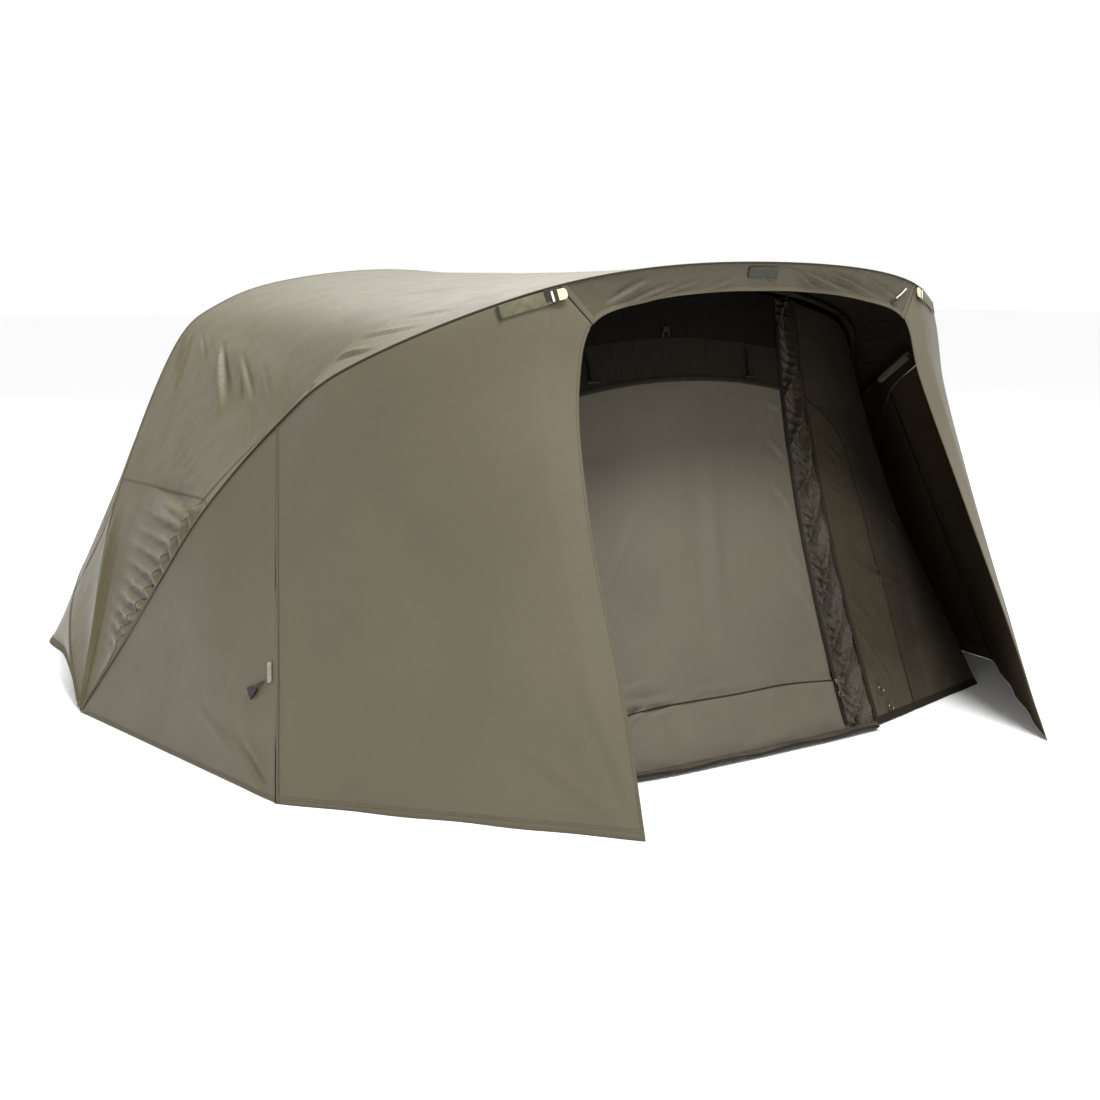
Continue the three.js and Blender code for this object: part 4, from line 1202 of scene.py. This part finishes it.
def strap(label, way):
    """The strap at the brow's end: webbing, end patch, pull tab, pale bar and stop."""
    wing, shares = wings[way]
    t = np.linspace(0, 1, 60)
    column = np.interp(mix(STRAP_FROM, STRAP_TO, t), shares, np.arange(len(shares)))
    c, n = along_grid(*wing, column, (0.962 - 0.005 * t) / UNDER_SEAM * (WING_V - 1))
    w, h = STRAP_HALF, STRAP_THICK
    batch = Batch()
    ring = [(-w, 0), (-w, h * 0.7), (-w * 0.94, h), (w * 0.94, h), (w, h * 0.7), (w, 0)]
    batch.sweep(c + n * 0.0028, n, ring)
    along = c[-1] - c[-4]
    step = unit(along)
    end, up = c[-1], n[-1]
    batch.plate(rounded(0.046, 0.044, 0.006), 0.004, end + up * 0.002 - step * 0.004, along, up, kind=1)
    batch.plate(rounded(0.026, 0.030, 0.011, round_start=False), 0.0045, end + up * 0.004 + step * 0.022,
                along, up, 0.0012, kind=2)
    batch.plate(rounded(0.006, 0.030, 0.0025), 0.003, end + up * 0.0058 - step * 0.006,
                along, up, 0.0008, kind=3)
    batch.plate(rounded(0.008, 0.040, 0.002), 0.0035, c[0] + n[0] * 0.003, along, n[0], 0.0008, kind=1)
    obj = batch.build(f"strap_{label}", [webbing, webbing_dark, cream_rubber, white_bar])
    go(obj, "porch", [f"strap_tab_{label}"])


def wing_toggle(label, way):
    """The fan-shaped toggle on its short strap, and the pale tab it hangs from."""
    surface = flank_surface(way)
    start, centre = spot(surface, 0.953, 0.312), spot(surface, 0.917, 0.293)
    up = unit(np.cross(spot(surface, 0.93, 0.3) - spot(surface, 0.90, 0.3),
                       spot(surface, 0.92, 0.33) - spot(surface, 0.92, 0.30)))
    up = up if up @ np.array([way, -1, 0.2]) > 0 else -up
    batch = Batch()
    rise = 0.004 + 0.006 * np.sin(np.linspace(0, np.pi, 14))
    path = mix(start, centre, np.linspace(0, 1.0, 14)[:, None]) + up * rise[:, None]
    batch.ribbon(path, up, 0.009, 0.0024, kind=1)
    batch.plate(TOGGLE_FAN, 0.007, centre + up * 0.004, centre - start, up, 0.0015)
    upwards = spot(surface, 0.975, 0.40) - spot(surface, 0.975, 0.30)
    tab_at = spot(surface, 0.975, 0.335) + up * 0.0030
    batch.plate(rounded(0.058, 0.017, 0.003), 0.0022, tab_at, upwards, up, kind=2)
    obj = batch.build(f"wing_toggle_strap_{label}", [moulded, webbing_dark, pale_tab])
    go(obj, "porch", [f"wing_toggle_{label}"])


for label, way in SIDES:
    strap(label, way)
    wing_toggle(label, way)

patch = Batch()
c, n = along_grid(*brow, np.linspace(0.455, 0.545, 24) * (BROW_U - 1), 0.36 * (BROW_V - 1))
c, n = calm(c, 60), unit(calm(n, 200))
patch.ribbon(c + n * 0.0045, n, 0.033, 0.0014)
go(patch.build("blank_label", [label_weave]), "porch", ["label_patch"])

# Short pale bar lying on the brow beside the right strap
bar = Batch()
columns = np.linspace(0.957, 0.933, 12) * (BROW_U - 1)
c, n = along_grid(*brow, columns, np.linspace(0.26, 0.88, 12) * (BROW_V - 1))
bar.tube(c[:9] + n[:9] * 0.005, 0.0022)
bar.tube(c[8:] + n[8:] * 0.005, 0.0034, kind=1)
go(bar.build("brow_bar_right", [white_bar, moulded]), "porch")

# Roll-up toggles: a strap that hangs on the door with a T bar at its end
for label, way in SIDES:
    top, low = (spot(door_surface, *at) for at in zip(ROLL_UP_U[way], ROLL_UP_V))
    batch = Batch()
    batch.ribbon(mix(top, low, np.linspace(-0.25, 1.0, 16)[:, None]) + LEAN * 0.011, LEAN, 0.010, 0.003)
    ends = low + np.linspace(-0.024, 0.024, 5)[:, None] * np.array([1.0, 0, 0]) + LEAN * 0.013
    batch.tube(ends, 0.0055, 10, kind=1, scale=[0.6, 1, 0.85, 1, 0.6])
    obj = batch.build(f"roll_up_toggle_{label}", [valance_line, toggle_black])
    go(obj, "inner", [f"roll_toggle_{label}"])

# Hook in the middle of the valance
hook = Batch()
base = HOOK_AT + LEAN * 0.012
turn = np.linspace(-0.5, 4.2, 22)
hook.tube(base + np.stack([0.010 * np.cos(turn), 0.002 * turn, 0.012 * np.sin(turn)], -1), 0.0022)
hook.plate(rounded(0.022, 0.014, 0.003), 0.003, base + np.array([0, 0.004, 0.016]), (1, 0, 0), LEAN)
go(hook.build("valance_hook", [moulded]), "inner")


def zip_slider(label, way):
    """The slider with its puller, ring and pull tape, where the CAD slider is."""
    low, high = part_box(f"zip_slider_{label}")
    v = (low.z + high.z) / 2 / head_at(np.array(ZIPS[way][1] * way * MM))[2]
    c = upright(ZIPS[way], way)(np.array([v - 0.01, v, v + 0.01]))
    along = c[2] - c[0]
    step = unit(along)
    at = c[1] + LEAN * 0.009
    slider = Batch()
    slider.plate(SLIDER_BODY, 0.0055, at, along, LEAN, 0.0012)
    slider.plate(rounded(0.028, 0.007, 0.003), 0.0022, at + LEAN * 0.006 - step * 0.016, along, LEAN, 0.0007)
    slider.tube(ring_path(at + LEAN * 0.008 - step * 0.038, LEAN, 0.0085), 0.0016)
    slider.plate(rounded(0.030, 0.009, 0.003), 0.003, at + LEAN * 0.0075 - step * 0.064,
                 along, LEAN, 0.001, kind=1)
    obj = slider.build(f"zip_slider_pull_{label}", [dark_steel, webbing_dark])
    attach(obj, f"slider_{label}")
    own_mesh(obj)
    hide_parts(f"zip_slider_{label}")


def hem_rings(label, way):
    """Two rings on short tabs, at the inner panel's foot."""
    batch = Batch()
    for (x, y, z), radius in HEM_RINGS:
        centre = np.array([x * way, y, z])
        batch.tube(ring_path(centre + LEAN * 0.006, (0.1 * way, -0.95, 0.25), radius, squeeze=1.2), 0.0018)
        batch.plate(rounded(0.022, 0.012, 0.003), 0.002, centre + LEAN * 0.004 + np.array([0, 0, 0.016]),
                    (0, 0.3, 1), LEAN, 0.0005, kind=1)
    go(batch.build(f"hem_rings_{label}", [dark_steel, webbing_dark]), "inner")


for label, way in SIDES:
    zip_slider(label, way)
    hem_rings(label, way)

# ---------------- door sill: a soft rolled flap across the doorstep
SILL_LINE = [
    (-632, -1270), (-500, -1304), (-300, -1316), (0, -1320), (225, -1318), (400, -1312), (424, -1311),
]
SHEET_FRONT_X = [-0.66, -0.44, 0, 0.44, 0.5]
SHEET_FRONT_Y = [-1.2026, -1.262, -1.270, -1.262, -1.246]  # the groundsheet's front edge
SILL_STEPS, ROLL_SIDES = 220, 18
ROLL_RADIUS = 0.0118
FLAP_RING = [(0, 0), (0.5, 0), (1, 0), (1, 0.0011), (0.5, 0.0011), (0, 0.0011)]  # share across, height

xs = np.linspace(SILL_LINE[0][0], SILL_LINE[-1][0], SILL_STEPS) * MM
knots = np.interp(xs / MM, [x for x, _ in SILL_LINE], np.arange(len(SILL_LINE)))
rim = station_line([(x, y, 0) for x, y in SILL_LINE])(knots)[:, 1]
x, turn = uv_grid(xs, np.linspace(0, 2 * math.pi, ROLL_SIDES, endpoint=False))
lumps = 1 + 0.10 * ripples(np.stack([x * 14, np.cos(turn) * 1.5, np.sin(turn) * 1.5], -1), 1.0, 161)
y = rim[:, None] + 1.25 * ROLL_RADIUS * np.cos(turn) * lumps
z = ROLL_RADIUS + 0.002 + ROLL_RADIUS * np.sin(turn) * lumps
sill = Batch()
roll = np.stack([x, y, np.maximum(z, WRAP_LOWEST)], -1)
sill.loft(roll, np.stack([x, turn * ROLL_RADIUS], -1), flip=True)
sheet_front = np.interp(xs, SHEET_FRONT_X, SHEET_FRONT_Y)
flap = np.stack([
    np.stack([xs, mix(sheet_front + 0.004, rim + 0.004, t), np.full_like(xs, TRIM_LOWEST + z)], -1)
    for t, z in FLAP_RING
], 1)
sill.loft(flap, flap[..., :2], flip=True)
edge = np.stack([xs, rim - 0.0145, 0.016 + 0.002 * np.sin(xs * 23)], -1)
sill.ribbon(edge, (0, -0.6, 0.8), 0.010, 0.0016, kind=1)
obj = go(sill.build("door_sill_roll", [sill_cloth, dark_piping], None), "base", ["door_sill"])

# ---------------- frame pieces that keep their CAD shape
TUBES = ("crossbar", "_rib_leg_", "strut_left", "strut_right")

for name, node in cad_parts.items():
    if node.hide_render:
        continue
    if any(word in name for word in TUBES):
        paint = tube_paint
    elif name.startswith("hub_pin"):
        paint = steel
    elif name == "groundsheet":
        paint = ground_cloth
    else:
        paint = moulded
    node.data.materials.clear()
    node.data.materials.append(paint)
    smooth = any(word in name for word in ("rib", "strut", "pin"))
    node.data.polygons.foreach_set("use_smooth", np.full(len(node.data.polygons), smooth))
    if smooth:
        node.data.set_sharp_from_angle(angle=math.radians(50))
    if name.startswith("hub_clevis"):
        bevel = node.modifiers.new("edge", "BEVEL")
        bevel.width = 0.002
        bevel.segments = 3

# A padded sleeve on each strut, its collar, and the short strap under it
for label, way in SIDES:
    low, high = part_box(f"porch_strut_{label}")
    x0, x1 = (high.x, low.x) if way > 0 else (low.x, high.x)
    a, b = np.array([x0, high.y, low.z]), np.array([x1, low.y, high.z])
    sleeve = Batch()
    t = np.linspace(0.42, 0.93, 50)
    sleeve.tube(mix(a, b, t[:, None]), 0.0135, 14, scale=1 + 0.05 * np.sin(t * 140))
    collar = mix(a, b, np.linspace(0.30, 0.43, 8)[:, None])
    sleeve.tube(collar, 0.0165, 14, kind=1, scale=[0.7, 0.95, 1, 1, 1, 1, 0.95, 0.7])
    fall = np.linspace(0, 1, 14)
    hang = mix(a, b, 0.34) + np.stack([0.012 * np.sin(fall * 4), -0.02 * fall, -0.10 * fall - 0.012], -1)
    sleeve.ribbon(hang, (0, -1, 0.1), 0.016, 0.003, kind=1)
    go(sleeve.build(f"strut_sleeve_{label}", [webbing, toggle_black], 60), "front")

# ---------------- studio
FLOOR_HALF, FLOOR_Z = 60, -0.0003

floor_mesh = bpy.data.meshes.new("floor")
corners = ((-1, -1), (1, -1), (1, 1), (-1, 1))
floor_mesh.from_pydata([(x * FLOOR_HALF, y * FLOOR_HALF, FLOOR_Z) for x, y in corners], [], [(0, 1, 2, 3)])
floor = bpy.data.objects.new("floor", floor_mesh)
scene.collection.objects.link(floor)
ground = Nodes("studio_floor")
floor_mesh.materials.append(ground.finish(Base_Color=(0.96, 0.96, 0.96, 1), Roughness=0.9))

world = bpy.data.worlds.new("studio")
world.use_nodes = True
world.node_tree.nodes["Background"].inputs[0].default_value = (1, 1, 1, 1)
world.node_tree.nodes["Background"].inputs[1].default_value = 1.0
scene.world = world


def area_light(name, at, target, size, power):
    data = bpy.data.lights.new(name, "AREA")
    data.shape = "DISK"
    data.size = size
    data.energy = power
    lamp = bpy.data.objects.new(name, data)
    lamp.location = at
    lamp.rotation_euler = (Vector(target) - Vector(at)).to_track_quat("-Z", "Y").to_euler()
    scene.collection.objects.link(lamp)


area_light("key_overhead", (1.6, 3.0, 6.6), (0, 0.1, 0.8), 6.0, 640)
area_light("front_high", (-0.7, -2.9, 5.5), (-0.1, -1.1, 0.4), 1.5, 330)
area_light("front_soft", (0.8, -7.0, 2.0), (0, -1.0, 0.4), 3.0, 30)
scene.view_settings.view_transform = "Standard"
scene.view_settings.look = "None"
